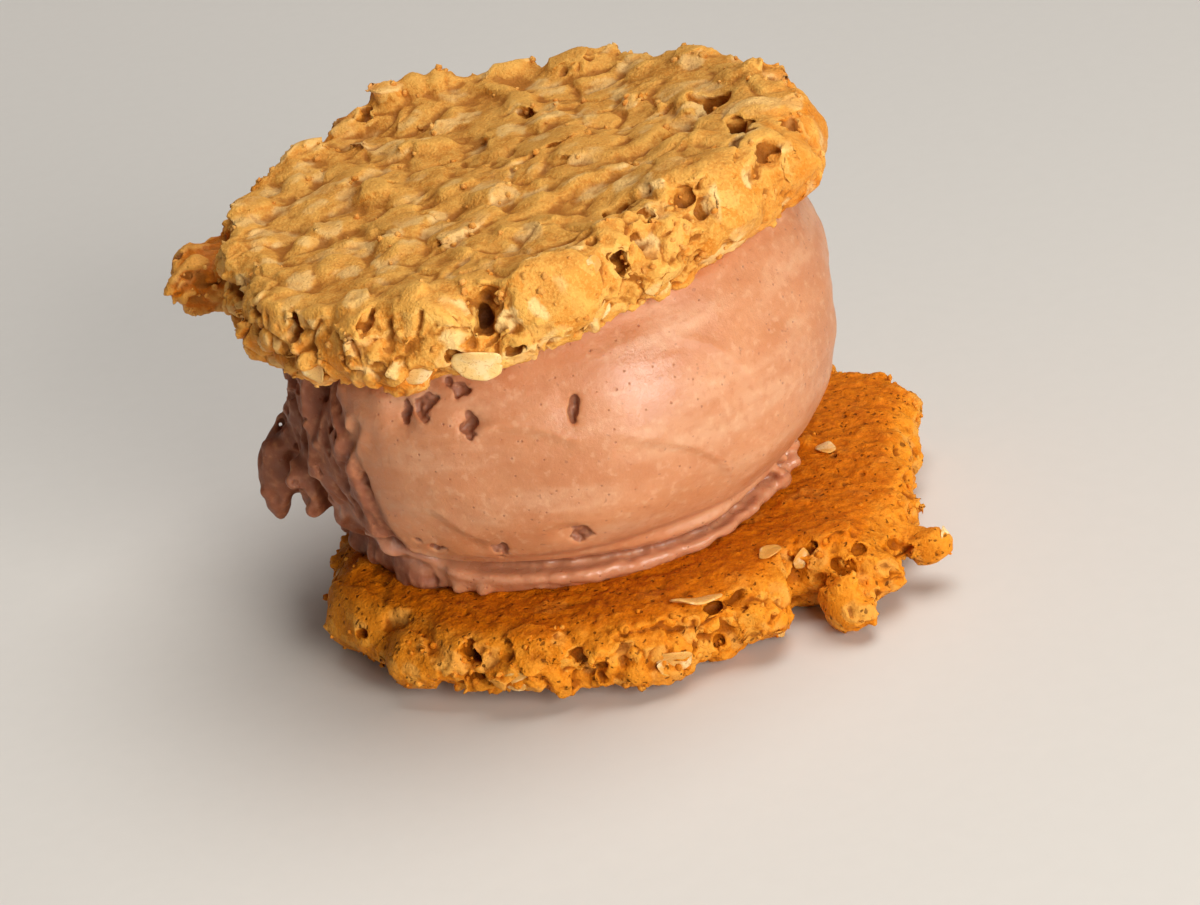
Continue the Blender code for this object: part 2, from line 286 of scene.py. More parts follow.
# a rolled oat: a thin oval with a seam along it, ragged and slightly curled
def flakeMaster(seed, subdivisions):
    bpy.ops.mesh.primitive_ico_sphere_add(subdivisions=subdivisions, radius=1.0)
    obj = bpy.context.object
    x, y, z = (getPoints(obj) * mm).T
    flat = np.column_stack((x, y, 0 * x))
    edge = 1.0 + 0.13 * noiseAt(flat, 0.5, seed)
    thick = 0.14 * (1.0 - 0.4 * np.hypot(x, y)) * np.sign(z) * np.abs(z) ** 0.6
    seam = -0.05 * np.exp(-((y / 0.10) ** 2)) * (np.abs(x) < 0.8) * (z > 0)
    curl = 0.16 * y**2 - 0.10 * x**2 + 0.07 * noiseAt(flat, 0.7, seed + 3)
    setPoints(obj, np.column_stack((x * edge, 0.7 * y * edge, thick + seam + curl)) / mm)
    return takeMaster(obj)


# one mesh of copies; places holds (location, outward, half sizes, spin and tilt in radians)
def placed(masters, places, name):
    points, triangles, start = [], [], 0
    for number, (spot, outward, sizes, spin, tilt) in enumerate(places):
        master, corners = masters[number % len(masters)]
        turn = Vector(outward).to_track_quat("Z", "Y").to_matrix()
        turn = turn @ Matrix.Rotation(spin, 3, "Z") @ Matrix.Rotation(tilt, 3, "X")
        points.append((master * np.array(sizes)) @ np.array(turn).T + np.array(spot))
        triangles.append(corners + start)
        start += len(master)
    return meshFrom(name, np.vstack(points), np.vstack(triangles))


# spots spread over a surface, no two nearer than gap; wanted gives each spot's chance
def scatterSpots(obj, count, gap, rng, wanted=None):
    points, triangles = getPoints(obj), getTriangles(obj)
    a, b, c = (points[triangles[:, i]] for i in range(3))
    cross = np.cross(b - a, c - a)
    area = np.linalg.norm(cross, axis=1)
    drawn = rng.choice(len(triangles), count * 14, p=area / area.sum())
    u, v = rng.random((2, len(drawn)))
    u, v = np.where(u + v > 1, 1 - u, u), np.where(u + v > 1, 1 - v, v)
    spots = a[drawn] + u[:, None] * (b - a)[drawn] + v[:, None] * (c - a)[drawn]
    outward = (cross / area[:, None])[drawn]
    if wanted is not None:
        kept = rng.random(len(drawn)) < wanted(spots, outward)
        spots, outward = spots[kept], outward[kept]
    chosen, normals = np.empty((count, 3)), []
    for spot, normal in zip(spots, outward):
        if not normals or ((chosen[: len(normals)] - spot) ** 2).sum(1).min() > gap * gap:
            chosen[len(normals)] = spot
            normals.append(normal)
            if len(normals) == count:
                break
    return chosen[: len(normals)], np.array(normals)


# A cookie's own axes come from its flat baked face, with their zero in the middle of that face.
def cookieAxes(node, faceUp):
    points, triangles = getPoints(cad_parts[node]), getTriangles(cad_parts[node])
    a, b, c = (points[triangles[:, i]] for i in range(3))
    cross = np.cross(b - a, c - a) * (1 if faceUp else -1)
    area = np.linalg.norm(cross, axis=1)
    flat = cross[:, 2] / area > 0.975
    up = cross[flat].sum(0) / np.linalg.norm(cross[flat].sum(0))
    right = np.cross([0, 1, 0], up) / np.linalg.norm(np.cross([0, 1, 0], up))
    middle = ((a + b + c)[flat] / 3 * area[flat, None]).sum(0) / area[flat].sum()
    return {"middle": middle, "turn": np.vstack((right, np.cross(up, right), up)), "tree": treeOf(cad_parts[node])}


def toLocal(axes, points):
    return (points - axes["middle"]) @ axes["turn"].T


def toWorld(axes, local):
    return axes["middle"] + np.array(local) @ axes["turn"]


def polar(angle, out, height=0.0):
    return np.array((out * math.cos(math.radians(angle)), out * math.sin(math.radians(angle)), height))


# the cookie's surface in a direction at a height, and the way out of it
def onSide(axes, angle, height):
    aim = polar(angle, 1.0) @ axes["turn"]
    spot = axes["tree"].ray_cast(Vector(toWorld(axes, polar(angle, 90.0, height))), Vector(-aim))[0]
    return (np.array(spot) if spot else toWorld(axes, polar(angle, 42.0, height))), aim


def onTop(axes, angle, out):
    up = axes["turn"][2]
    spot = axes["tree"].ray_cast(Vector(toWorld(axes, polar(angle, out, 60.0))), Vector(-up))[0]
    return np.array(spot), up


upperAxes = cookieAxes("upper_cookie", faceUp=False)
lowerAxes = cookieAxes("lower_cookie", faceUp=True)


# Colours are sRGB hex values, turned linear here.
def colour(text):
    parts = [int(text[i : i + 2], 16) / 255 for i in (1, 3, 5)]
    return tuple(v / 12.92 if v <= 0.04045 else ((v + 0.055) / 1.055) ** 2.4 for v in parts) + (1.0,)


def dress(obj, material):
    obj.data.materials.clear()
    obj.data.materials.append(material)
    obj.data.polygons.foreach_set("material_index", [0] * len(obj.data.polygons))
    select(obj)
    bpy.ops.object.shade_smooth()


def newMaterial(name):
    made = bpy.data.materials.new(name)
    made.use_nodes = True
    made.node_tree.nodes.clear()
    return made


# adds a node and gives one of its outputs: sockets are numbers, colours or other nodes' outputs by input, and settings are its properties
def addNode(material, kind, sockets=None, result=0, **settings):
    node = material.node_tree.nodes.new("ShaderNode" + kind)
    for key, value in settings.items():
        setattr(node, key, value)
    for key, value in (sockets or {}).items():
        if isinstance(value, bpy.types.NodeSocket):
            material.node_tree.links.new(value, node.inputs[key])
        else:
            node.inputs[key].default_value = value
    return node.outputs[result] if node.outputs else node


# Oatmeal cookie dough, baked: a matte crust, tan where it is thin and amber at the edges, with paler oats showing
# through it, painted light on ridges and crests, and painted shade in hollows, creases, crevices and pinholes.
def bakedDough(name, look):
    material = newMaterial(name)
    add = partial(addNode, material)
    place = add("TexCoord", result="Object")
    skin, paintedHollowShade, swale, deep, flake, bakeAndPaintedLight = (
        add("Attribute", attribute_name=key, result="Fac") for key in ("skin", "paintedHollowShade", "swale", "deep", "flake", "bakeAndPaintedLight"))
    wide, mottle, blotch, fleck, grain, pit = (
        add("TexNoise", {"Vector": place, "Scale": 1 / (size * mm), "Detail": detail, "Roughness": 0.6})
        for size, detail in ((7.0, 3.0), (1.5, 3.0), (3.5, 4.0), (0.6, 2.0), (0.45, 3.0), (5.0, 2.0)))
    # each crumb about 2.5 mm across has its own tone, and ragged edges
    wobble = add("TexNoise", {"Vector": place, "Scale": 1 / (1.2 * mm), "Detail": 2.0}, "Color")
    wobble = add("VectorMath", {0: wobble, "Scale": 1.6 * mm}, operation="SCALE")
    ragged = add("VectorMath", {0: place, 1: wobble}, operation="ADD")
    crumb = add("TexVoronoi", {"Vector": ragged, "Scale": 1 / (2.6 * mm)}, "Color")
    amber, pale = (add("SeparateColor", {"Color": crumb}, key) for key in ("Red", "Green"))
    broken = add("Math", {0: 1.0, 1: skin}, operation="SUBTRACT")
    amber, pale = (add("Math", {0: broken, 1: tone}, operation="MULTIPLY") for tone in (amber, pale))
    # browning, from the piece's own bake attribute with blotches; on the lower cookie that attribute also carries
    # painted light, less browning on the left side so that side looks lighter
    baked = add("Math", {0: blotch, 1: 0.9, 2: bakeAndPaintedLight}, operation="MULTIPLY_ADD")
    baked = add("Math", {0: baked, 1: 0.45}, operation="SUBTRACT")
    dark = add("Math", {0: baked, 1: mottle}, operation="MULTIPLY")
    # oats just under the surface, plainer where the crumb is broken open
    seen = add("MapRange", {"Value": broken, "To Min": look["oatsThroughSkin"], "To Max": 1.0})
    oats = add("MapRange", {"Value": pit, "From Min": 0.38, "From Max": 0.55, "To Min": 0.35, "To Max": 1.0})
    oats = add("Math", {0: oats, 1: flake}, operation="MULTIPLY")
    oats = add("Math", {0: oats, 1: seen}, operation="MULTIPLY")
    browned = add("MapRange", {"Value": bakeAndPaintedLight, "To Min": 1.0, "To Max": look["oatsWhenBaked"]})
    oats = add("Math", {0: oats, 1: browned}, operation="MULTIPLY")
    pin = add("TexVoronoi", {"Vector": ragged, "Scale": 1 / (1.5 * mm)}, "Distance")
    tone = colour(look["dough"])
    # what decides a tint, its values at none and most, how strong it is at most, and its colour
    for share, none, most, strength, tint in (
        (wide, 0.38, 0.64, 1.0, "doughDark"),
        (mottle, 0.45, 0.72, 0.5, "doughPale"),
        (amber, 0.45, 0.95, 0.75, "amber"),
        (pale, 0.60, 0.95, 0.75, "crumbPale"),
        (grain, 0.46, 0.66, 0.55, "paleGrainAndPaintedRidgeLight"),
        (grain, 0.46, 0.30, 0.45, "doughDark"),
        (baked, 0.15, 0.85, 1.0, "crust"),
        (dark, 0.22, 0.60, 0.8, "crustDark"),
        # painted light on broad crests and painted shade in broad creases, from the swale attribute
        (swale, -0.05, -0.50, 0.50, "paleGrainAndPaintedRidgeLight"),
        (swale, 0.02, 0.34, 0.90, "paintedCreaseShade"),
        (oats, 0.0, 1.0, look["oatStrength"], "oat"),
        # painted light on sharp ridges and painted shade in hollows, from the hollow attribute
        (paintedHollowShade, -0.05, -0.40, 0.20, "paleGrainAndPaintedRidgeLight"),
        (paintedHollowShade, 0.02, 0.30, look["paintedHollowShadeShare"], "paintedHollowShade"),
        # painted shade in deep crevices
        (deep, 1.8, 4.5, 0.85, "deep"),
        (fleck, 0.62, 0.72, 0.45, "fleck"),
        # painted shade in the pinholes
        (pin, 0.21, 0.12, look["pinholes"], "deep"),
    ):
        share = add("MapRange", {"Value": share, "From Min": none, "From Max": most, "To Max": strength}, interpolation_type="SMOOTHSTEP")
        tone = add("Mix", {0: share, 6: tone, 7: colour(look[tint])}, 2, data_type="RGBA")
    # grains of flour and sugar about 0.5 mm across
    grit = add("TexVoronoi", {"Vector": ragged, "Scale": 1 / (0.5 * mm)}, "Distance")
    bump = add("Bump", {"Height": grit, "Strength": 0.45, "Distance": 0.25 * mm}, invert=True)
    bump = add("Bump", {"Height": grain, "Strength": 0.55, "Distance": 0.35 * mm, "Normal": bump})
    pricks = add("MapRange", {"Value": pin, "From Min": 0.10, "From Max": 0.24}, interpolation_type="SMOOTHSTEP")
    bump = add("Bump", {"Height": pricks, "Strength": look["pinholes"], "Distance": 0.30 * mm, "Normal": bump})
    gloss = add("MapRange", {"Value": mottle, "From Min": 0.3, "From Max": 0.7, "To Min": look["roughness"] - 0.12, "To Max": look["roughness"] + 0.12})
    shader = add("BsdfPrincipled", {"Base Color": tone, "Roughness": gloss, "IOR": 1.45, "Specular IOR Level": look["shine"], "Normal": bump})
    add("OutputMaterial", {"Surface": shader})
    return material


# the crest, crease, hollow and deep colours are painted light on ridges and painted shade in creases, hollows and
# crevices
upperLook = {
    "dough": "#d9963f", "doughDark": "#c9812c", "doughPale": "#e4ac56", "amber": "#d67f1e", "crumbPale": "#ecba66",
    "crust": "#da7c10", "crustDark": "#ac580c", "oat": "#f2cb86", "oatsThroughSkin": 0.55, "oatStrength": 0.85, "oatsWhenBaked": 0.30, "paleGrainAndPaintedRidgeLight": "#ecb255",
    "paintedCreaseShade": "#a8651c", "paintedHollowShade": "#90500a", "paintedHollowShadeShare": 0.75, "deep": "#502406", "fleck": "#96540f", "pinholes": 0.0, "roughness": 0.64, "shine": 0.22,
}
lowerLook = {
    "dough": "#dc821a", "doughDark": "#c06a0c", "doughPale": "#e69a34", "amber": "#dc7c10", "crumbPale": "#ecaa46",
    "crust": "#d67308", "crustDark": "#a64e04", "oat": "#e2a048", "oatsThroughSkin": 0.45, "oatStrength": 0.70, "oatsWhenBaked": 0.50, "paleGrainAndPaintedRidgeLight": "#ec962a",
    "paintedCreaseShade": "#a85806", "paintedHollowShade": "#7a3a04", "paintedHollowShadeShare": 0.75, "deep": "#451c03", "fleck": "#6a3006", "pinholes": 0.7, "roughness": 0.58, "shine": 0.10,
}
upperDough, lowerDough = bakedDough("bakedOatDough", upperLook), bakedDough("brownedOatDough", lowerLook)


# Milk chocolate ice cream, scooped: satin and a little translucent, dry and dark where it tore, glossier where it is
# pressed or melting, with painted shade on its left side, in hollows, the groove, crater pits and bubbles, and painted
# light on ridges.
def scoopedChocolate(look):
    material = newMaterial("scoopedChocolateIceCream")
    add = partial(addNode, material)
    place = add("TexCoord", result="Object")
    torn, icyPitsAndPaintedShade, paintedHollowShade, wet = (add("Attribute", attribute_name=key, result="Fac") for key in ("torn", "icyPitsAndPaintedShade", "paintedHollowShade", "wet"))
    around = add("Mapping", {"Vector": place, "Scale": (0.25, 0.25, 1.0)})
    wide, mottle, speck, frost, patch = (
        add("TexNoise", {"Vector": place, "Scale": 1 / (size * mm), "Detail": detail})
        for size, detail in ((9.0, 2.0), (1.3, 5.0), (0.9, 1.0), (0.8, 4.0), (5.5, 4.0)))
    pulls = add("TexNoise", {"Vector": around, "Scale": 1 / (5.0 * mm), "Detail": 3.0})
    dark = add("Math", {0: torn, 1: mottle}, operation="MULTIPLY")
    paintedPitShade = add("Math", {0: icyPitsAndPaintedShade, 1: frost}, operation="MULTIPLY")
    bubble = add("TexVoronoi", {"Vector": place, "Scale": 1 / (1.9 * mm)}, "Distance")
    tone = colour(look["cream"])
    # what decides a tint, its values at none and most, how strong it is at most, and its colour
    for share, none, most, strength, tint in (
        (wide, 0.38, 0.62, 0.6, "creamDark"),
        (pulls, 0.48, 0.70, 0.5, "creamPale"),
        (mottle, 0.52, 0.72, 0.45, "creamPale"),
        (mottle, 0.46, 0.30, 0.45, "creamDark"),
        # the torn tint also paints shade on the ball's left side, away from the key light
        (dark, 0.05, 0.55, 1.0, "torn"),
        (wet, 0.0, 1.0, 0.5, "wet"),
        # painted shade in the crater pits
        (paintedPitShade, 0.10, 0.50, 1.0, "icyPitsAndPaintedShade"),
        # painted shade in hollows and the groove, and painted light on ridges
        (paintedHollowShade, 0.04, 0.35, 0.75, "paintedHollowShade"),
        (paintedHollowShade, -0.03, -0.25, 0.5, "paintedRidgeLight"),
        (speck, 0.70, 0.78, 0.45, "speck"),
        # painted shade in the air bubbles' pits
        (bubble, 0.11, 0.06, 0.55, "speck"),
    ):
        share = add("MapRange", {"Value": share, "From Min": none, "From Max": most, "To Max": strength}, interpolation_type="SMOOTHSTEP")
        tone = add("Mix", {0: share, 6: tone, 7: colour(look[tint])}, 2, data_type="RGBA")
    # air bubbles and ice crystals make it faintly rough, in patches
    fine = add("TexNoise", {"Vector": place, "Scale": 1 / (0.4 * mm), "Detail": 4.0, "Roughness": 0.7})
    soft = add("TexNoise", {"Vector": place, "Scale": 1 / (1.8 * mm), "Detail": 3.0})
    bump = add("Bump", {"Height": fine, "Strength": 0.50, "Distance": 0.18 * mm})
    bump = add("Bump", {"Height": soft, "Strength": 0.42, "Distance": 0.35 * mm, "Normal": bump})
    pricks = add("MapRange", {"Value": bubble, "From Min": 0.04, "From Max": 0.13}, interpolation_type="SMOOTHSTEP")
    bump = add("Bump", {"Height": pricks, "Strength": 0.5, "Distance": 0.25 * mm, "Normal": bump})
    gloss = add("MapRange", {"Value": wet, "To Min": look["roughness"], "To Max": look["wetRoughness"]})
    gloss = add("Math", {0: torn, 1: 0.15, 2: gloss}, operation="MULTIPLY_ADD")
    uneven = add("MapRange", {"Value": patch, "From Min": 0.35, "From Max": 0.65, "To Min": -0.08, "To Max": 0.08})
    gloss = add("Math", {0: gloss, 1: uneven}, operation="ADD")
    melt = add("Math", {0: wet, 1: look["melt"]}, operation="MULTIPLY")
    shader = add("BsdfPrincipled", {
        "Base Color": tone, "Roughness": gloss, "IOR": 1.45, "Normal": bump, "Coat Weight": melt, "Coat Roughness": 0.22, "Coat Normal": bump,
        "Subsurface Weight": 0.40, "Subsurface Radius": (1.0, 0.5, 0.3), "Subsurface Scale": 1.4 * mm,
    }, subsurface_method="RANDOM_WALK")
    add("OutputMaterial", {"Surface": shader})
    return material


# the hollow, ridge and icy colours are painted shade in hollows, painted light on ridges and painted shade in crater
# pits; the torn colour also paints shade on the left side
creamLook = {
    "cream": "#cc8b60", "creamDark": "#bf794e", "creamPale": "#dcab86", "torn": "#935639", "wet": "#cd8f6c", "icyPitsAndPaintedShade": "#9a6044",
    "paintedHollowShade": "#84452a", "paintedRidgeLight": "#e2ad86", "speck": "#985c42", "roughness": 0.41, "wetRoughness": 0.20, "melt": 0.6,
}
chocolate = scoopedChocolate(creamLook)


# Rolled oats, steamed, flattened and baked in: cream with a faint gloss and fine streaks of bran.
def rolledOats(look):
    material = newMaterial("rolledOats")
    add = partial(addNode, material)
    place = add("TexCoord", result="Object")
    toast = add("Attribute", attribute_name="tint", result="Fac")
    blotch = add("TexNoise", {"Vector": place, "Scale": 1 / (2.2 * mm), "Detail": 3.0})
    streak = add("TexNoise", {"Vector": place, "Scale": 1 / (0.5 * mm), "Detail": 4.0, "Distortion": 1.5})
    tone = colour(look["oat"])
    for share, none, most, strength, tint in (
        (toast, 0.0, 1.0, 1.0, "toasted"), (blotch, 0.48, 0.66, 0.6, "pale"), (streak, 0.54, 0.70, 0.6, "bran")):
        share = add("MapRange", {"Value": share, "From Min": none, "From Max": most, "To Max": strength}, interpolation_type="SMOOTHSTEP")
        tone = add("Mix", {0: share, 6: tone, 7: colour(look[tint])}, 2, data_type="RGBA")
    bump = add("Bump", {"Height": streak, "Strength": 0.30, "Distance": 0.14 * mm})
    shader = add("BsdfPrincipled", {
        "Base Color": tone, "Roughness": look["roughness"], "IOR": 1.45, "Specular IOR Level": 0.35, "Normal": bump,
        "Subsurface Weight": 0.25, "Subsurface Radius": (1.0, 0.6, 0.3), "Subsurface Scale": 0.8 * mm,
    }, subsurface_method="RANDOM_WALK")
    add("OutputMaterial", {"Surface": shader})
    return material


oatLook = {"oat": "#efc780", "pale": "#f6dcaa", "toasted": "#d8973e", "bran": "#bb7c30", "roughness": 0.48}
oatSkin = rolledOats(oatLook)


# The dough is the cookie's shape sunk a little, with clumps pressed into its side, hummocks in its top, and oats and crumbs on those.
def makeDough(name, node, axes, recipe, lumps, pits, smooth, free):
    rng = np.random.default_rng(recipe["seed"])
    up = axes["turn"][2]
    clumps = [crumbMaster(recipe["seed"] + i, 3, 0.30) for i in range(4)]
    crumbs = [crumbMaster(recipe["seed"] + 10 + i, 2, 0.30) for i in range(4)]
    flakes = [flakeMaster(recipe["seed"] + 20 + i, 3) for i in range(4)]
    hollows = [crumbMaster(recipe["seed"] + 30 + i, 2, 0.34) for i in range(4)]

    shape = copyOfNode(node, "shape")
    remesh(shape, recipe["coarse"])
    relax(shape, recipe["relaxed"])
    shapeTree = treeOf(shape)
    core = duplicate(shape, "core")
    normals = getNormals(core)
    lift = normals @ up
    flat = ease((np.abs(lift) - 0.45) / 0.45)
    sunk = recipe["sunkSide"] * (1 - flat) + np.where(lift > 0, recipe["sunkTop"], recipe["sunkBase"]) * flat
    setPoints(core, getPoints(core) - normals * sunk[:, None])

    def outOf(spots):
        return np.hypot(*toLocal(axes, spots)[:, :2].T)

    def sideOnly(spots, outward):
        height = toLocal(axes, spots)[:, 2]
        return (np.abs(outward @ up) < 0.80) & (height > recipe["lowest"]) & (height < recipe["highest"])

    def roundSide(spots, outward):
        return sideOnly(spots, outward) & (outOf(spots) < recipe["clumpReach"])

    def topOnly(spots, outward):
        return outward @ up > 0.75

    def innerTop(spots, outward):
        return (outward @ up > 0.75) & (outOf(spots) < recipe["hummockReach"])

    parts = [core]
    places = []
    for count, gap, low, high, share in recipe["clumps"]:
        spots, outward = scatterSpots(shape, count, gap, rng, roundSide)
        for spot, way in zip(spots, outward):
            size = rng.uniform(low, high)
            sizes = size * rng.uniform((0.85, 0.75, 0.72), (1.25, 1.05, 0.88))
            places.append((spot - way * size * share, way, sizes, rng.uniform(0, 6.28), rng.normal(0, 0.2)))
    parts.append(placed(clumps, places, "clumps"))

    places = []
    spots, outward = scatterSpots(shape, recipe["hummocks"], recipe["hummockGap"], rng, innerTop)
    for spot, way in zip(spots, outward):
        size = rng.uniform(*recipe["hummockSize"])
        proud = rng.uniform(*recipe["hummockProud"])
        sizes = (size * rng.uniform(0.8, 1.4), size * rng.uniform(0.6, 1.0), 2.2)
        places.append((spot - way * (2.2 - proud), way, sizes, rng.uniform(0, 6.28), rng.normal(0, 0.10)))
    parts.append(placed(clumps, places, "hummocks"))
    named = [(spot, way, sizes, math.radians(spin), 0.0) for spot, way, sizes, spin in lumps]
    parts.append(placed([crumbMaster(recipe["seed"] + 40 + i, 4, 0.16) for i in range(3)], named, "lumps"))
    body = join(parts, name)
    remesh(body, 0.6)

    # oats lie flush in the dough, and crumbs fill the broken places between clumps
    places = []
    for count, gap, wanted, low, high, lowest, highest, lean in recipe["oats"]:
        spots, outward = scatterSpots(body, count, gap, rng, topOnly if wanted == "top" else sideOnly)
        for spot, way in zip(spots, outward):
            size = rng.uniform(low, high)
            places.append((spot + way * rng.uniform(lowest, highest), way, (size, size, size), rng.uniform(0, 6.28), rng.normal(0, lean)))
    pressed = placed(flakes, places, "pressed")
    flakeTree = treeOf(pressed)

    def broken(spots, outward):
        patchy = noiseAt(spots, 6.0, recipe["seed"]) + 0.5 * (depthUnder(shapeTree, spots) - 0.6) > 0.0
        return sideOnly(spots, outward) & patchy

    places = []
    spots, outward = scatterSpots(body, recipe["crumbs"], 1.5, rng, broken)
    for spot, way in zip(spots, outward):
        size = rng.uniform(0.5, 1.0) ** 2 * 1.5
        places.append((spot - way * size * 0.35, way, size * rng.uniform(0.7, 1.2, 3), rng.uniform(0, 6.28), rng.normal(0, 0.5)))
    body = join([body, pressed, placed(crumbs, places, "crumbs")], name)
    remesh(body, recipe["fine"])

    places = []
    for spot, way, sizes, spin in pits:
        turn = Vector(way).to_track_quat("Z", "Y").to_matrix() @ Matrix.Rotation(math.radians(spin), 3, "Z")
        places.append((spot, way, np.array(sizes) * (0.7, 0.7, 1.0), math.radians(spin), 0.0))
        for count in range(5):
            offset = rng.uniform(-0.75, 0.75, 3) * (sizes[0], sizes[1], 0.3)
            size = min(sizes[:2]) * rng.uniform(0.35, 0.65)
            places.append((spot + np.array(turn) @ offset, way, (size, size, sizes[2] * rng.uniform(0.4, 0.9)), rng.uniform(0, 6.28), 0.0))
    spots, outward = scatterSpots(body, recipe["pores"], 1.8, rng, topOnly)
    for spot, way in zip(spots, outward):
        size = rng.uniform(0.55, 1.0) ** 2 * recipe["poreSize"]
        places.append((spot, way, (size, size * rng.uniform(0.6, 1.0), size * 1.3), rng.uniform(0, 6.28), 0.0))
    spots, outward = scatterSpots(body, recipe["crevices"], 4.0, rng, sideOnly)
    for spot, way in zip(spots, outward):
        size = rng.uniform(0.6, 1.4)
        places.append((spot, way, (size * rng.uniform(0.8, 2.0), size * 0.7, size * 2.2), rng.uniform(0, 6.28), rng.normal(0, 0.4)))
    holes = placed(hollows, places, "holes")
    remesh(holes, recipe["fine"])
    holeTree = treeOf(holes)
    modify(body, "BOOLEAN", operation="DIFFERENCE", solver="MANIFOLD", object=holes)
    discard(holes)
    remesh(body, recipe["fine"])
    keepLargest(body)

    # the risen skin is softly wrinkled, and broken places are grainy
    points, normals = getPoints(body), getNormals(body)
    depth = depthUnder(shapeTree, points)
    skin = ease((normals @ up - 0.50) / 0.3) * (1 - ease((depth - 1.4) / 1.0))
    nearHole = 1 - ease((distanceTo(holeTree, points) - 0.2) / 0.9)
    relax(body, 4, np.maximum(recipe["wallSmooth"] + recipe["skinSmooth"] * skin, 0.9 * nearHole))
    points, normals = getPoints(body), getNormals(body)
    patches = ease((noiseAt(points, 9.0, 2) + 0.35) / 0.5)
    bent = points + 1.4 * np.column_stack([noiseAt(points, 3.5, seed) for seed in (41, 42, 43)])
    rough = -recipe["crackDepth"] * ease(1 - grainsAt(bent, 5.2, recipe["seed"])[1] / 0.30) * patches
    domes = grainsAt(points + 0.25 * (bent - points), 1.7, recipe["seed"] + 1)[0] - 0.55
    fine = grainsAt(points, 0.95, recipe["seed"] + 2)[0] - 0.55
    crumbly = 0.55 + 0.75 * ease((noiseAt(points, 6.0, recipe["seed"]) + 0.3) / 0.6)
    rough += crumbly * recipe["grainHeight"] * (domes + 0.55 * fine) + 0.12 * noiseAt(points, 0.6, 4)
    rough *= 1 - 0.80 * nearAny(points, smooth)
    wrinkle = -recipe["foldDepth"] * ease(1 - grainsAt(bent, 6.5, recipe["seed"] + 3)[1] / 0.30) * patches
    for size, height, seed in recipe["wrinkles"]:
        wrinkle += height * noiseAt(points, size, seed)
    wrinkle += recipe["skinGrain"] * fine
    setPoints(body, points + normals * (rough * (1 - skin) + wrinkle * skin)[:, None])
    thin(body)
    points = getPoints(body)
    setPoints(body, heldIn(shapeTree, points, recipe["proud"] + 1.6 * nearAny(points, free)))

    points, normals = getPoints(body), getNormals(body)
    depth = depthUnder(shapeTree, points)
    # the hollow, swale and deep attributes paint shade into hollows, creases and crevices and paint light onto ridges
    setNumber(body, "paintedHollowShade", hollowness(body, 10))
    setNumber(body, "swale", hollowness(body, 60))
    setNumber(body, "deep", depth)
    setNumber(body, "flake", 1 - ease((distanceTo(flakeTree, points) - 0.1) / 0.4))
    setNumber(body, "skin", ease((normals @ up - 0.5) / 0.35) * (1 - ease((depth - 1.2) / 1.0)))
    discard(shape)
    return body


upperCookie = {
    "seed": 11, "coarse": 0.85, "relaxed": 4, "fine": 0.36,
    "sunkSide": 2.8, "sunkTop": 0.55, "sunkBase": 0.3, "lowest": 0.4, "highest": 13.5,
    # how many, gap between them, half size from and to, how deep they sit
    "clumps": [(64, 8.0, 3.9, 6.2, 0.80), (150, 4.4, 1.8, 3.2, 0.75)], "clumpReach": 47.5,
    "hummocks": 70, "hummockGap": 6.8, "hummockSize": (3.0, 7.5), "hummockProud": (0.0, 1.0), "hummockReach": 38.0,
    # how many, gap, where, half size from and to, how far they stand out from and to, lean
    "oats": [(120, 3.4, "top", 1.8, 3.2, -0.50, -0.14, 0.08), (110, 3.4, "side", 1.7, 2.9, -0.42, -0.10, 0.18)],
    "crumbs": 1500, "pores": 60, "poreSize": 0.7, "crevices": 20, "proud": 0.6,
    "skinSmooth": 0.50, "wallSmooth": 0.12, "skinGrain": 0.11, "crackDepth": 0.95, "foldDepth": 0.50, "grainHeight": 0.58,
    "wrinkles": [(10.0, 0.60, 8), (3.2, 0.20, 5), (1.5, 0.14, 6), (0.8, 0.08, 7)],  # size, height, seed
}


def upperLumps():
    made = []

    def side(angle, height, wide, tall, thick, inset, spin=0.0):
        spot, way = onSide(upperAxes, angle, height)
        made.append((spot - way * inset, way, (wide, tall, thick), spin))

    side(277, 8.9, 7.6, 5.8, 3.6, 2.2, -12)   # the big smooth slab at the front
    side(254, 8.0, 6.2, 5.2, 3.4, 2.0, 10)    # the rough clump left of it
    side(238, 6.5, 5.2, 4.8, 3.0, 1.9, 20)
    side(219, 8.0, 5.0, 4.4, 3.0, 2.0, 0)
    side(231, 10.6, 3.6, 2.8, 2.2, 1.2, 20)
    side(290, 9.2, 4.4, 3.8, 2.6, 1.6, 40)
    side(304, 7.6, 4.2, 4.0, 2.6, 1.7, 0)
    side(320, 7.2, 5.0, 4.2, 2.8, 1.8, -20)
    side(337, 8.4, 4.8, 3.8, 2.8, 1.9, 10)
    side(354, 7.5, 8.5, 5.2, 4.0, 3.4, 0)     # the smooth swollen lobe at the right
    side(297, 5.4, 3.4, 2.8, 2.2, 1.2, 30)
    side(312, 5.2, 2.2, 2.2, 1.6, 0.8, 0)
    for angle, out, rise in ((98, 1.2, 0.4), (103, 2.2, 1.8), (109, 2.2, 1.5), (115, 1.6, 0.6)):  # the peak on the rim at the back
        spot, way = onTop(upperAxes, angle, 40.0)
        spot = spot + polar(angle, out) @ upperAxes["turn"]
        made.append((spot - way * (3.2 - rise), way, (3.6, 2.8, 3.2), angle - 90))
    return made


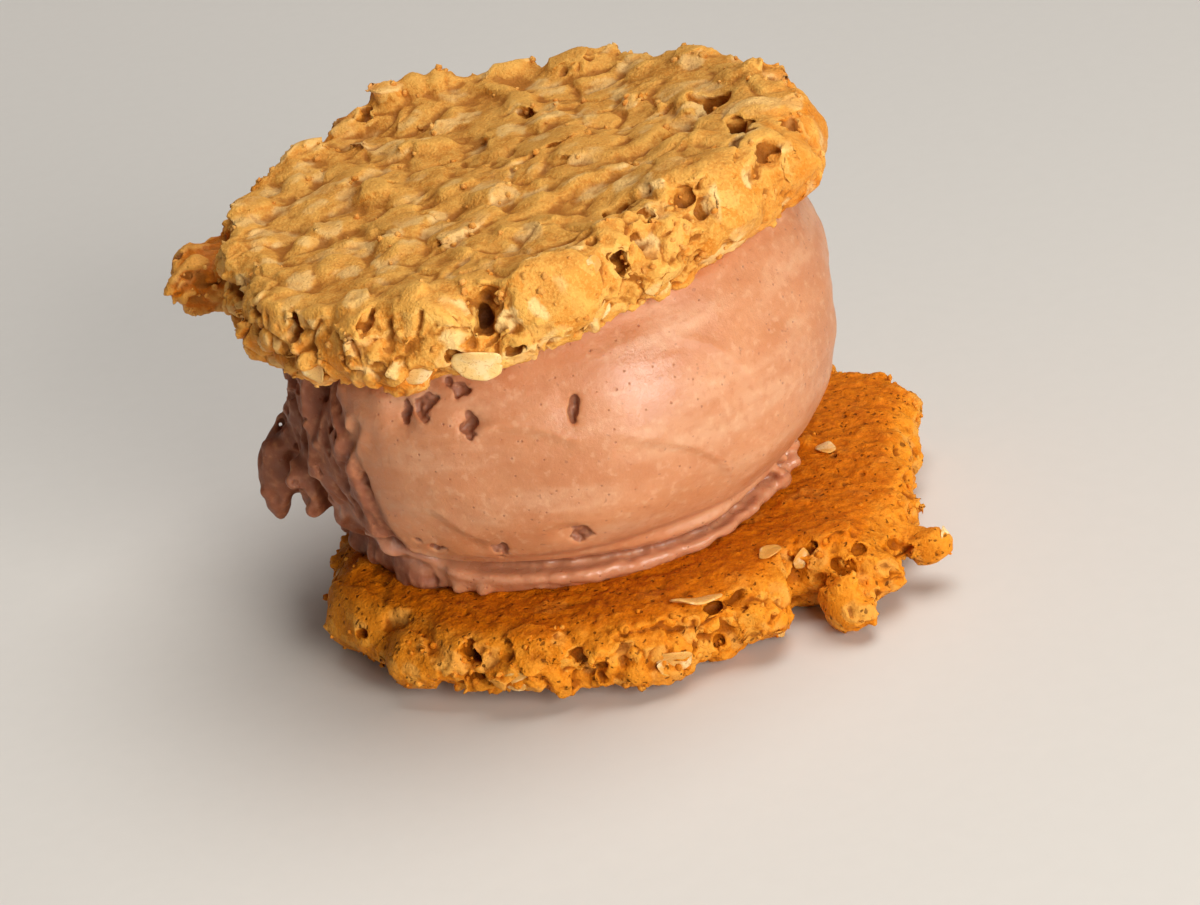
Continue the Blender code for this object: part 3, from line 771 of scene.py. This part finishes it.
def upperPits():
    made = []

    def side(angle, height, wide, tall, deep, spin=0.0):
        spot, way = onSide(upperAxes, angle, height)
        made.append((spot, way, (wide, tall, deep), spin))

    def top(angle, out, wide, tall, deep, spin=0.0):
        spot, way = onTop(upperAxes, angle, out)
        made.append((spot, way, (wide, tall, deep), spin))

    side(264, 9.0, 1.2, 3.6, 4.5, 12)     # deep crevice left of the slab
    side(244, 12.0, 1.0, 2.6, 4.5, -10)
    side(268, 4.0, 2.6, 0.8, 3.0, 10)
    side(291, 9.5, 1.3, 1.5, 2.8)
    top(282, 38.3, 1.3, 0.9, 2.0)
    top(288, 39.5, 1.2, 0.9, 2.2)
    top(302, 38.1, 1.9, 1.3, 3.2, 20)
    top(311, 38.5, 2.3, 1.7, 3.6, -20)
    top(342, 37.5, 2.7, 2.0, 4.0, 30)
    top(331, 38.5, 2.3, 1.8, 3.6, 10)
    top(338, 40.0, 1.2, 1.0, 2.6)
    top(7, 31.3, 1.8, 0.9, 1.8, 60)
    top(12, 22.1, 2.8, 0.8, 1.3, 30)
    top(116, 41.0, 2.0, 1.2, 2.0)
    return made


print("upper cookie")
smooth = [(onSide(upperAxes, 277, 9.0)[0], 7.5), (onSide(upperAxes, 354, 7.5)[0], 10.0), (onSide(upperAxes, 15, 7.0)[0], 8.0)]
free = [(onTop(upperAxes, 105, 40.0)[0], 11.0)]
upperBody = makeDough("upper_cookie_dough", "upper_cookie", upperAxes, upperCookie, upperLumps(), upperPits(), smooth, free)

local = toLocal(upperAxes, getPoints(upperBody))
angle, out = np.degrees(np.arctan2(local[:, 1], local[:, 0])) % 360, np.hypot(local[:, 0], local[:, 1])
edge = ease((out - 38) / 7)
foot = ease((4.5 - local[:, 2]) / 4.5)
behind = ease((np.cos(np.radians(angle - 130)) + 0.15) / 0.9)
rightSide = ease((np.cos(np.radians(angle - 5)) - 0.55) / 0.4)
leftSide = ease((np.cos(np.radians(angle - 205)) - 0.45) / 0.45)
knob = ease((out - 43) / 4) * ease((np.cos(np.radians(angle - 178)) - 0.93) / 0.05)
setNumber(upperBody, "bakeAndPaintedLight", np.clip(0.50 * foot + edge * (0.72 * behind + 0.50 * rightSide + 0.45 * leftSide) + 0.6 * knob, 0, 1))
dress(upperBody, upperDough)


print("ice cream")
iceBox = [np.array(corner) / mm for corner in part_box("ice_cream")]
ballRadius = (iceBox[1][1] - iceBox[0][1]) / 2
ballAxis = np.array([iceBox[1][0] - ballRadius, (iceBox[0][1] + iceBox[1][1]) / 2])


# strokes and craters stand at an azimuth in degrees and a height in millimetres
iceCream = {
    "seed": 31, "coarse": 0.8, "relaxed": 16, "fine": 0.40,
    "groove": [(205, 26.0), (210.8, 23.6), (222.2, 19.6), (232, 16.6), (247.8, 16.0), (269.5, 15.4), (293.6, 14.4), (313.3, 14.6), (330, 15.0), (345, 15.5)],
    "groove depth": 2.8, "groove width": 0.62,
    # (path, height of the ridge, its width, the step below it, how far the step fades)
    "strokes": [
        ([(274, 38.0), (281.8, 36.2), (292, 32.6), (301.3, 26.2), (303.5, 20.5)], 0.55, 0.8, 0.90, 7.0),
        ([(246, 38.6), (250, 41.0), (259.3, 41.6), (266.5, 38.8), (273, 37.0)], 0.70, 0.7, 0.75, 5.0),
        ([(290, 47.8), (297, 47.0), (304, 43), (309, 37), (311, 31)], 0.35, 0.6, 0.40, 6.0),
        ([(236, 30), (241, 25.5), (247, 23.0)], 0.40, 0.9, 0.55, 4.0),
        ([(28, 40), (45, 37), (62, 31), (70, 24)], 0.40, 0.8, 0.90, 7.0),
        ([(95, 42), (112, 43), (128, 38), (140, 36)], 0.50, 0.8, 0.75, 5.0),
        ([(350, 44), (2, 40), (10, 33), (12, 26)], 0.32, 0.8, 0.75, 7.0),
    ],
    # (path, depth, width): torn vertical fissures
    "fissures": [
        ([(224, 42.5), (220.5, 39), (217, 35), (213.5, 31), (211.2, 27.5)], 1.9, 0.85),
        ([(214, 46.5), (214.5, 43.5), (213, 41)], 1.8, 0.8),
        ([(206.5, 46.5), (205.5, 42), (204.5, 37.5), (204, 34)], 2.4, 1.0),
        ([(200, 45), (199, 40), (200, 34), (201, 29)], 1.6, 0.8),
        ([(193, 46), (194, 41), (192, 37)], 2.0, 1.1),
        ([(187, 44), (187, 39), (189, 33)], 1.8, 0.9),
        ([(226, 47), (229, 45.5), (232, 45.2)], 0.9, 0.6),
    ],
    # (azimuth, height, half width, half height, depth)
    "craters": [
        (234.6, 43.2, 1.1, 1.9, 1.7), (237.5, 44.6, 1.0, 1.5, 1.5), (240.4, 45.0, 1.3, 1.6, 1.7), (239.3, 42.8, 0.8, 0.9, 1.2),
        (248.9, 41.9, 1.4, 2.1, 1.8), (247.4, 46.4, 2.0, 1.0, 1.6), (244.6, 47.4, 0.9, 0.7, 1.2),
        (266.9, 22.6, 1.8, 1.9, 1.5), (248.3, 21.0, 1.5, 1.8, 1.4), (246.9, 18.9, 0.6, 0.6, 1.2), (233.0, 21.0, 1.5, 0.9, 1.4), (229.5, 22.4, 0.9, 0.6, 1.0),
        (205.8, 41.2, 0.9, 1.5, 2.4), (215.6, 41.9, 0.7, 0.8, 1.6), (194, 40, 1.4, 2.0, 2.0), (188, 35, 1.3, 1.7, 1.8),
        (60, 44, 1.5, 0.9, 1.5), (118, 25, 1.9, 1.1, 1.4), (152, 41, 2.0, 1.3, 1.8), (162, 33, 1.2, 2.2, 1.9),
    ],
    "tears": 90,
    "slit": (270.0, 42.3, (0.78, 2.5, 1.3)),
    "pores": [(247.9, 37.4), (269.8, 30.8), (254.6, 29.6), (255.6, 29.0), (272, 27.2), (262, 33), (289.5, 29.0), (244, 28), (281, 22.5), (299, 38), (35, 30), (100, 35), (75, 38), (325, 30)],
}


def onBall(tree, azimuth, height):
    aim = polar(azimuth, 1.0)
    start = np.array([*ballAxis, height])
    spot, normal = tree.ray_cast(Vector(start + aim * 80), Vector(-aim))[:2]
    return np.array(spot), np.array(normal)


# a path over the ball with a spot every half millimetre or so
def pathOn(tree, corners):
    corners = np.array([(a + 360 if a < corners[0][0] - 180 else a, z) for a, z in corners], float)
    along = np.concatenate(([0], np.cumsum(np.hypot(np.diff(corners[:, 0]) * 0.7, np.diff(corners[:, 1])))))
    steps = np.linspace(0, along[-1], int(along[-1] / 0.9) + 2)
    smooth = [np.convolve(np.pad(np.interp(steps, along, corners[:, i]), 4, "edge"), np.ones(9) / 9, "valid") for i in (0, 1)]
    return np.array([onBall(tree, a, z)[0] for a, z in zip(*smooth)])


# distance to a path, height over it, and how far along it from 0 to 1
def acrossPath(allPoints, path):
    near, over, along = np.full(len(allPoints), 99.0), np.zeros(len(allPoints)), np.zeros(len(allPoints))
    close = np.where(((allPoints > path.min(0) - 9) & (allPoints < path.max(0) + 9)).all(1))[0]
    points = allPoints[close]
    for index in range(len(path) - 1):
        start, span = path[index], path[index + 1] - path[index]
        share = np.clip(((points - start) @ span) / (span @ span), 0, 1)
        away = points - start - share[:, None] * span
        distance = np.linalg.norm(away, axis=1)
        better = distance < near[close]
        spots = close[better]
        near[spots], over[spots] = distance[better], away[better, 2]
        along[spots] = (index + share[better]) / (len(path) - 1)
    return near, over, along


# 1 where the scoop tore at the left, 0 elsewhere, with a ragged border
def tornShare(points):
    azimuth = np.degrees(np.arctan2(points[:, 1] - ballAxis[1], points[:, 0] - ballAxis[0])) % 360
    out = np.hypot(points[:, 0] - ballAxis[0], points[:, 1] - ballAxis[1])
    behind = azimuth + 10 * noiseAt(points, 8.0, 41) + 5 * noiseAt(points, 3.0, 42)
    share = ease((behind - 148) / 24) * ease((226 - azimuth - 0.35 * (points[:, 2] - 34)) / 9)
    return azimuth, out, np.maximum(share, ease((out - 43.5) / 2))


def makeIceCream(recipe):
    rng = np.random.default_rng(recipe["seed"])
    lumpy = [crumbMaster(recipe["seed"] + i, 3, 0.30) for i in range(4)]
    body = copyOfNode("ice_cream", "ice_cream_scoop")
    remesh(body, recipe["coarse"])
    points = getPoints(body)
    left = ease((-38 - points[:, 0]) / 4)
    relax(body, recipe["relaxed"], 1 - 0.85 * left)
    # it is pressed onto both cookies
    points = getPoints(body)
    under = (toLocal(upperAxes, points)[:, 2])
    points[:, 2] += 0.9 * ease((under + 2.2) / 1.8) - 0.9 * ease((14.0 - points[:, 2]) / 1.6)
    setPoints(body, points)
    tree = treeOf(body)

    places = []
    for azimuth in np.arange(254, 349, 1.4):  # the ruffled lip where it spreads on the lower cookie
        azimuth += rng.normal(0, 0.7)
        spot, way = onBall(tree, azimuth, rng.uniform(12.4, 14.2))
        size = rng.uniform(0.30, 0.62)
        places.append((spot, way, (size * rng.uniform(1.4, 3.4), size * 0.9, size), rng.normal(0, 0.25), 0))
    for azimuth in np.arange(-10, 240, 3.1):
        spot, way = onBall(tree, azimuth + rng.normal(0, 1), rng.uniform(12.4, 13.6))
        size = rng.uniform(0.4, 1.1)
        places.append((spot, way, (size * 1.3, size, size * 0.8), rng.uniform(0, 6.28), 0))
    for azimuth, height, size in ((332.8, 13.4, 1.5), (331.0, 14.8, 1.1), (341, 14.2, 1.2), (345, 15.4, 1.5), (343, 16.6, 0.9), (337, 15.6, 0.8)):
        spot, way = onBall(tree, azimuth, height)
        places.append((spot + way * 0.5, way, (size, size * 0.9, size), rng.uniform(0, 6.28), 0))
    for count in range(90):  # rags torn off at the left
        azimuth, height = rng.uniform(170, 202), rng.uniform(18, 33)
        spot, way = onBall(tree, azimuth, height)
        size = rng.uniform(0.5, 1.5)
        places.append((spot - way * size * 0.3, way, (size, size * rng.uniform(0.6, 1.6), size * 0.9), rng.uniform(0, 6.28), rng.normal(0, 0.4)))
    body = join([body, placed(lumpy, places, "ruffles")], "ice_cream_scoop")
    remesh(body, recipe["fine"])
    relax(body, 2, 0.6)

    points, normals = getPoints(body), getNormals(body)
    azimuth, out, torn = tornShare(points)
    move = np.zeros(len(points))

    # wide, faint pulls from the scoop run round the ball
    around = np.column_stack((np.radians(azimuth) * 40, points[:, 2], out * 0.3))
    calm = 1 - torn
    move += 0.22 * noiseAt(around * [0.06, 0.22, 0.1], 1.0, 5) * calm
    move += (0.13 * noiseAt(around * [0.6, 1.0, 1.0], 3.6, 6) + 0.05 * noiseAt(points, 1.3, 7)) * calm
    pulls = 1 - np.abs(noiseAt(around * [0.035, 0.30, 0.05] + 0.03 * noiseAt(points, 9, 8)[:, None], 1.0, 9))
    move += 0.16 * pulls**6 * calm

    near, over, along = acrossPath(points, pathOn(tree, recipe["groove"]))
    ends = ease(along / 0.06) * ease((1 - along) / 0.10)
    ragged = 1 + 0.35 * noiseAt(points, 2.2, 11)
    move -= recipe["groove depth"] * np.exp(-((near / (recipe["groove width"] * ragged)) ** 2)) * ends
    lip = (over < 0) & (points[:, 2] < 30)
    move += 0.50 * np.exp(-(((near - 1.5) / 0.8) ** 2)) * (over > 0) * ends
    move += (0.80 - 0.4 * ease((azimuth - 262) / 12)) * np.exp(-(((near - 1.6) / 1.0) ** 2)) * lip * ends * (1 + 0.5 * noiseAt(points, 3.0, 12))
    collar = ease((near - 0.1) / 0.5) * lip * ease((26 - points[:, 2]) / 4)
    rough = collar * ease((azimuth - 244) / 8)
    move += rough * (0.22 * noiseAt(points, 1.6, 13) + 0.12 * noiseAt(points, 0.7, 14))

    for path, height, width, step, fade in recipe["strokes"]:
        near, over, along = acrossPath(points, pathOn(tree, path))
        ends = ease(along / 0.25) * ease((1 - along) / 0.25)
        soft = width * (1 + 0.3 * noiseAt(points, 4, 15))
        move += ends * height * np.exp(-((near / soft) ** 2))
        move -= ends * step * ease(0.5 - over / (2 * width)) * np.exp(-near / (fade * 0.45)) * (over < width)

    # folds and tears at the left, where the scoop broke away
    folds = noiseAt(np.column_stack((around[:, 0] / 2.6, points[:, 2] / 9.0, out / 5)), 1.0, 21)
    shreds = noiseAt(np.column_stack((around[:, 0] / 1.1, points[:, 2] / 3.2, out / 2)), 1.0, 22)
    domed, crack = grainsAt(points, 1.6, 26)
    move += torn * (2.3 * np.minimum(folds, 0.2) - 1.2 * ease((shreds - 0.15) / 0.5) + 0.35 * (domed - 0.6) + 0.12 * noiseAt(points, 0.8, 23))
    for path, depth, width in recipe["fissures"]:
        near, over, along = acrossPath(points, pathOn(tree, path))
        ends = ease(along / 0.12) * ease((1 - along) / 0.12)
        jagged = 1 + 0.45 * noiseAt(points, 1.4, 24)
        move -= ends * depth * np.exp(-((near / (width * jagged)) ** 2)) * (0.8 + 0.4 * noiseAt(points, 0.9, 25))
        move += ends * 0.35 * np.exp(-(((near - 2.0 * width) / (0.8 * width)) ** 2))
    setPoints(body, points + normals * np.clip(move, -3.2, 1.2)[:, None])
    remesh(body, recipe["fine"])
    relax(body, 1, 0.5)

    tree = treeOf(body)
    places = []
    for azimuth, height, wide, tall, deep in recipe["craters"]:
        spot, way = onBall(tree, azimuth, height)
        places.append((spot, way, (wide * 0.75, tall * 0.75, deep * 0.75), rng.normal(0, 0.3), 0))
        for count in range(8):
            turn = rng.uniform(0, 6.28)
            shift = (math.cos(turn) * wide * 0.75, math.sin(turn) * tall * 0.75)
            near = onBall(tree, azimuth + math.degrees(shift[0] / 38), height + shift[1])[0]
            size = min(wide, tall) * rng.uniform(0.2, 0.5)
            places.append((near, way, (size, size, deep * rng.uniform(0.4, 0.8)), rng.uniform(0, 6.28), 0))
    for azimuth, height in recipe["pores"]:
        spot, way = onBall(tree, azimuth, height)
        places.append((spot, way, (0.30, 0.24, 0.5), rng.uniform(0, 6.28), 0))
    for count in range(recipe["tears"]):
        azimuth, height = rng.uniform(160, 222), rng.uniform(25, 51)
        spot, way = onBall(tree, azimuth - 0.35 * (height - 34), height)
        places.append((spot, way, (rng.uniform(0.35, 0.9), rng.uniform(0.6, 2.2), rng.uniform(0.9, 1.9)), rng.normal(0, 0.2), 0))
    azimuth, height, size = recipe["slit"]
    places.append((*onBall(tree, azimuth, height), size, -0.15, 0))
    holes = placed(lumpy, places, "craters")
    remesh(holes, 0.16)
    before, holeTree = treeOf(body), treeOf(holes)
    modify(body, "BOOLEAN", operation="DIFFERENCE", solver="MANIFOLD", object=holes)
    discard(holes)
    remesh(body, 0.34)
    keepLargest(body)
    relax(body, 3, 1 - ease((distanceTo(holeTree, getPoints(body)) - 0.2) / 0.8))
    points, normals = getPoints(body), getNormals(body)
    depth = depthUnder(before, points)
    icyPitsAndPaintedShade = ease((depth - 0.05) / 0.35)
    crystals = grainsAt(points, 0.9, 33)[0] - 0.5
    setPoints(body, points + normals * (icyPitsAndPaintedShade * (0.22 * noiseAt(points, 0.75, 31) + 0.35 * crystals))[:, None])
    thin(body)

    points = getPoints(body)
    azimuth, out, torn = tornShare(points)
    # painted shade: the left side of the ball, away from the key light, is darkened through the torn tint
    paintedLeftShade = 0.35 * ease((252 - azimuth) / 30) * ease((azimuth - 110) / 45)
    setNumber(body, "torn", np.maximum(torn, paintedLeftShade))
    # painted shade: the crater pits are darkened in colour
    setNumber(body, "icyPitsAndPaintedShade", ease((depthUnder(before, points) - 0.05) / 0.3))
    # painted shade in hollows and along the groove, and painted light on ridges
    near, over, along = acrossPath(points, pathOn(tree, recipe["groove"]))
    setNumber(body, "paintedHollowShade", hollowness(body, 8) + 0.30 * np.exp(-((near / 0.7) ** 2)) * ease(along / 0.06) * ease((1 - along) / 0.10))
    melting = ease(1 - np.hypot(*(((azimuth - 285) * 0.7, points[:, 2] - 43.5) / np.array([[8.0], [7.0]]))))
    setNumber(body, "wet", np.maximum(melting, ease((26 - points[:, 2]) / 4) * (over < 0.2) * ease((5.5 - near) / 2)))
    return body


scoop = makeIceCream(iceCream)
dress(scoop, chocolate)


print("lower cookie")
lowerCookie = {
    "seed": 71, "coarse": 0.85, "relaxed": 4, "fine": 0.36,
    "sunkSide": 2.5, "sunkTop": 0.25, "sunkBase": 0.3, "lowest": -11.6, "highest": -0.4,
    "clumps": [(60, 7.4, 3.4, 5.2, 0.82), (150, 4.2, 1.7, 3.0, 0.76)], "clumpReach": 49.5,
    "hummocks": 26, "hummockGap": 8.0, "hummockSize": (3.5, 6.5), "hummockProud": (0.05, 0.35), "hummockReach": 40.0,
    "oats": [(46, 4.0, "top", 1.6, 2.8, -0.50, -0.16, 0.08), (100, 3.4, "side", 1.7, 2.8, -0.42, -0.10, 0.18)],
    "crumbs": 1300, "pores": 300, "poreSize": 0.85, "crevices": 24, "proud": 0.6,
    "skinSmooth": 0.12, "wallSmooth": 0.15, "skinGrain": 0.34, "crackDepth": 0.80, "foldDepth": 0.22, "grainHeight": 0.52,
    "wrinkles": [(8.0, 0.25, 8), (3.2, 0.16, 5), (1.5, 0.14, 6), (0.8, 0.12, 7)],
}


def lowerLumps():
    made = []

    def side(angle, height, wide, tall, thick, inset, spin=0.0):
        spot, way = onSide(lowerAxes, angle, height)
        made.append((spot - way * inset, way, (wide, tall, thick), spin))

    side(203, -5.5, 9.0, 5.6, 4.0, 3.2)     # the smooth swollen lobe at the left
    side(222, -6.0, 6.0, 5.2, 3.2, 2.6)
    side(325, -5.6, 3.6, 3.0, 3.0, 2.8)     # the square tooth at the right
    side(250, -4.5, 4.0, 3.0, 2.4, 1.5, 10)
    side(268, -8.0, 5.0, 2.6, 2.4, 1.6, -8)
    return made


def lowerPits():
    made = []

    def side(angle, height, wide, tall, deep, spin=0.0):
        spot, way = onSide(lowerAxes, angle, height)
        made.append((spot, way, (wide, tall, deep), spin))

    def top(angle, out, wide, tall, deep, spin=0.0):
        spot, way = onTop(lowerAxes, angle, out)
        made.append((spot, way, (wide, tall, deep), spin))

    side(236, -3.0, 1.5, 1.9, 4.5, 15)
    side(239, -6.5, 2.2, 0.9, 4.0, 10)
    side(260, -5.0, 1.2, 1.1, 3.2)
    side(309, -3.0, 1.4, 1.6, 3.4)
    side(312, -1.6, 1.2, 0.9, 2.6)
    top(295, 31.3, 1.1, 0.8, 1.4, 20)
    top(353, 31.2, 1.0, 0.8, 1.4)
    top(318, 36.0, 0.9, 0.7, 1.2)
    top(340, 36.0, 0.9, 0.6, 1.2)
    return made


smooth = [(onSide(lowerAxes, 203, -5.5)[0], 11.0), (onSide(lowerAxes, 218, -7.5)[0], 8.0), (onSide(lowerAxes, 325, -5.6)[0], 6.0)]
lowerBody = makeDough("lower_cookie_dough", "lower_cookie", lowerAxes, lowerCookie, lowerLumps(), lowerPits(), smooth, [])
local = toLocal(lowerAxes, getPoints(lowerBody))
out = np.hypot(local[:, 0], local[:, 1])
face = ease((local[:, 2] + 1.5) / 1.2)
angle = np.degrees(np.arctan2(local[:, 1], local[:, 0])) % 360
# painted light: less browning on the left side, away from the key light, makes that side lighter
leftSide = ease((np.cos(np.radians(angle - 205)) - 0.6) / 0.3)
setNumber(lowerBody, "bakeAndPaintedLight", np.clip(0.25 - 0.3 * leftSide * (1 - face) + 0.55 * face + 0.2 * ease((-9.0 - local[:, 2]) / 2.5), 0, 1))
dress(lowerBody, lowerDough)


print("bare oats and crumbs")
bareOats = {
    "seed": 91, "upper": 16, "lower": 10, "size": (1.2, 2.0), "sunk": 0.30,
    # angle, height, half length, spin in degrees, tilt in degrees, how toasted
    "named upper": [(261, 3.2, 3.7, -8, 12, 0.2), (250, 4.0, 3.0, 20, 8, 0.45), (229, 4.7, 2.5, 80, 10, 0.45)],
    "named lower": [(279, -1.0, 3.6, -10, 60, 0.6), (272, -6.5, 2.8, -8, 15, 0.7), (245, -6.0, 2.4, 12, 12, 0.8)],
    "on top": [(357, 30.2, 1.9), (300, 36.0, 2.0)],
}


def makeBareOats(recipe):
    rng = np.random.default_rng(recipe["seed"])
    masters = [flakeMaster(recipe["seed"] + i, 3) for i in range(4)]
    places, tints = [], []
    for axes, body, count, named, low in ((upperAxes, upperBody, recipe["upper"], recipe["named upper"], 0.8), (lowerAxes, lowerBody, recipe["lower"], recipe["named lower"], -11.0)):
        up = axes["turn"][2]
        tree = treeOf(body)
        for angle, height, size, spin, tilt, toast in named:
            aim = polar(angle, 1.0) @ axes["turn"]
            spot = tree.ray_cast(Vector(toWorld(axes, polar(angle, 90.0, height))), Vector(-aim))[0]
            places.append((np.array(spot) - aim * 0.12, aim, (size, size, size), math.radians(spin), math.radians(tilt)))
            tints.append(toast)

        def onWall(spots, outward):
            height = toLocal(axes, spots)[:, 2]
            return (np.abs(outward @ up) < 0.75) & (height > low) & (height < low + 10.5)

        spots, outward = scatterSpots(body, count, 5.5, rng, onWall)
        for spot, way in zip(spots, outward):
            radial = (spot - axes["middle"]) * [1, 1, 0]
            way = 0.5 * way + 0.5 * radial / np.linalg.norm(radial)
            size = rng.uniform(*recipe["size"])
            places.append((spot - way * recipe["sunk"], way, (size, size, size), rng.uniform(0, 6.28), rng.normal(0, 0.25)))
            tints.append(rng.uniform(0.3, 1))
    for angle, out, size in recipe["on top"]:
        spot, way = onTop(lowerAxes, angle, out)
        places.append((spot - way * 0.10, way, (size, size, size), rng.uniform(0, 6.28), 0.1))
        tints.append(0.8)
    made = placed(masters, places, "bare_oats")
    setNumber(made, "tint", np.repeat(tints, [len(masters[i % 4][0]) for i in range(len(places))]))
    print(f"  bare_oats: {len(places)} flakes, {len(getTriangles(made))} triangles")
    dress(made, oatSkin)
    return made


crumbLook = {"seed": 95, "count": 420, "size": (0.22, 0.62)}


def makeCrumbs(name, body, axes, low, recipe, material):
    rng = np.random.default_rng(recipe["seed"])
    up = axes["turn"][2]
    masters = [crumbMaster(recipe["seed"] + i, 1, 0.35) for i in range(5)]

    def onWall(spots, outward):
        height = toLocal(axes, spots)[:, 2]
        return (np.abs(outward @ up) < 0.85) & (height > low) & (noiseAt(spots, 6.0, recipe["seed"]) > -0.1)

    places = []
    spots, outward = scatterSpots(body, recipe["count"], 1.0, rng, onWall)
    for spot, way in zip(spots, outward):
        size = rng.uniform(*recipe["size"])
        places.append((spot + way * size * 0.2, way, size * rng.uniform(0.7, 1.3, 3), rng.uniform(0, 6.28), rng.uniform(-1, 1)))
    made = placed(masters, places, name)
    # the crumbs get a little painted light on ridges and no painted shade
    for key, value in (("paintedHollowShade", -0.1), ("swale", 0.0), ("deep", 0.0), ("flake", 0.3), ("skin", 0.0), ("bakeAndPaintedLight", 0.3)):
        setNumber(made, key, np.full(len(made.data.vertices), value))
    dress(made, material)
    return made


oats = makeBareOats(bareOats)
upperCrumbs = makeCrumbs("upper_cookie_crumbs", upperBody, upperAxes, 0.8, crumbLook, upperDough)
lowerCrumbs = makeCrumbs("lower_cookie_crumbs", lowerBody, lowerAxes, -11.0, crumbLook, lowerDough)


# Painted board, matte: the pale ground it all stands on.
def paleBoard():
    material = newMaterial("matteBoard")
    add = partial(addNode, material)
    place = add("TexCoord", result="Object")
    speck = add("TexNoise", {"Vector": place, "Scale": 300.0, "Detail": 3.0})
    tone = add("Mix", {0: speck, 6: colour("#d4cec6"), 7: colour("#d7d1c9")}, 2, data_type="RGBA")
    shader = add("BsdfPrincipled", {"Base Color": tone, "Roughness": 0.75})
    add("OutputMaterial", {"Surface": shader})
    return material


# an area light has its size in metres, and a distant one has its spread in degrees
def softLight(name, place, aim, power, tint, size=0.0, spread=0.0):
    light = bpy.data.lights.new(name, "AREA" if size else "SUN")
    light.energy, light.color = power, colour(tint)[:3]
    if size:
        light.shape, light.size = "DISK", size
    else:
        light.angle = math.radians(spread)
    obj = bpy.data.objects.new(name, light)
    bpy.context.scene.collection.objects.link(obj)
    obj.location = place
    obj.rotation_euler = (Vector(aim) - Vector(place)).to_track_quat("-Z", "Y").to_euler()


studio = {
    "floorSize": 6.0,
    "key": {"place": (0.36, -0.72, 0.27), "aim": (0, 0, 0.035), "size": 0.5, "power": 7.3, "tint": "#fffdf8"},
    "fill": {"place": (-0.7, -0.5, 0.55), "aim": (0, 0, 0.03), "size": 0.8, "power": 0.1, "tint": "#f6f6ff"},
    "top": {"place": (0.25, 0.15, 0.95), "aim": (0, 0, 0.0), "spread": 50.0, "power": 2.1, "tint": "#ffffff"},
    "sky": "#e8e5e0", "skyPower": 0.12,
}
bpy.ops.mesh.primitive_plane_add(size=studio["floorSize"])
floor = bpy.context.object
floor.name = "floor"
floor.data.materials.append(paleBoard())
for name in ("key", "fill", "top"):
    softLight(name, **studio[name])
world = bpy.data.worlds.new("studio")
bpy.context.scene.world = world
world.use_nodes = True
world.node_tree.nodes["Background"].inputs["Color"].default_value = colour(studio["sky"])
world.node_tree.nodes["Background"].inputs["Strength"].default_value = studio["skyPower"]
bpy.context.scene.view_settings.view_transform = "Standard"

shot = {"target": (-3.0, -38.5, 35.0), "distance": 455.0, "elevation": 25.0, "roll": 11.0, "lens": 100.0}  # mm and degrees
elevation, roll = math.radians(shot["elevation"]), math.radians(shot["roll"])
forward = Vector((0, math.cos(elevation), -math.sin(elevation)))
upright = Vector((0, math.sin(elevation), math.cos(elevation)))
right = math.cos(roll) * Vector((1, 0, 0)) - math.sin(roll) * upright
above = math.sin(roll) * Vector((1, 0, 0)) + math.cos(roll) * upright
lens = bpy.data.cameras.new("camera")
lens.lens, lens.sensor_width, lens.clip_start = shot["lens"], 36.0, 0.01
camera = bpy.data.objects.new("camera", lens)
bpy.context.scene.collection.objects.link(camera)
camera.matrix_world = Matrix.Translation((Vector(shot["target"]) - shot["distance"] * forward) * mm) @ Matrix(
    (right, above, -forward)).transposed().to_4x4()
bpy.context.scene.camera = camera

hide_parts("upper_cookie")
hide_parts("ice_cream")
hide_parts("lower_cookie")
for piece, slot in ((upperBody, "upper_cookie"), (upperCrumbs, "upper_cookie"), (scoop, "ice_cream"), (lowerBody, "lower_cookie"), (lowerCrumbs, "lower_cookie"), (oats, "oat_flakes")):
    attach(piece, "root")
print("finished shaping")
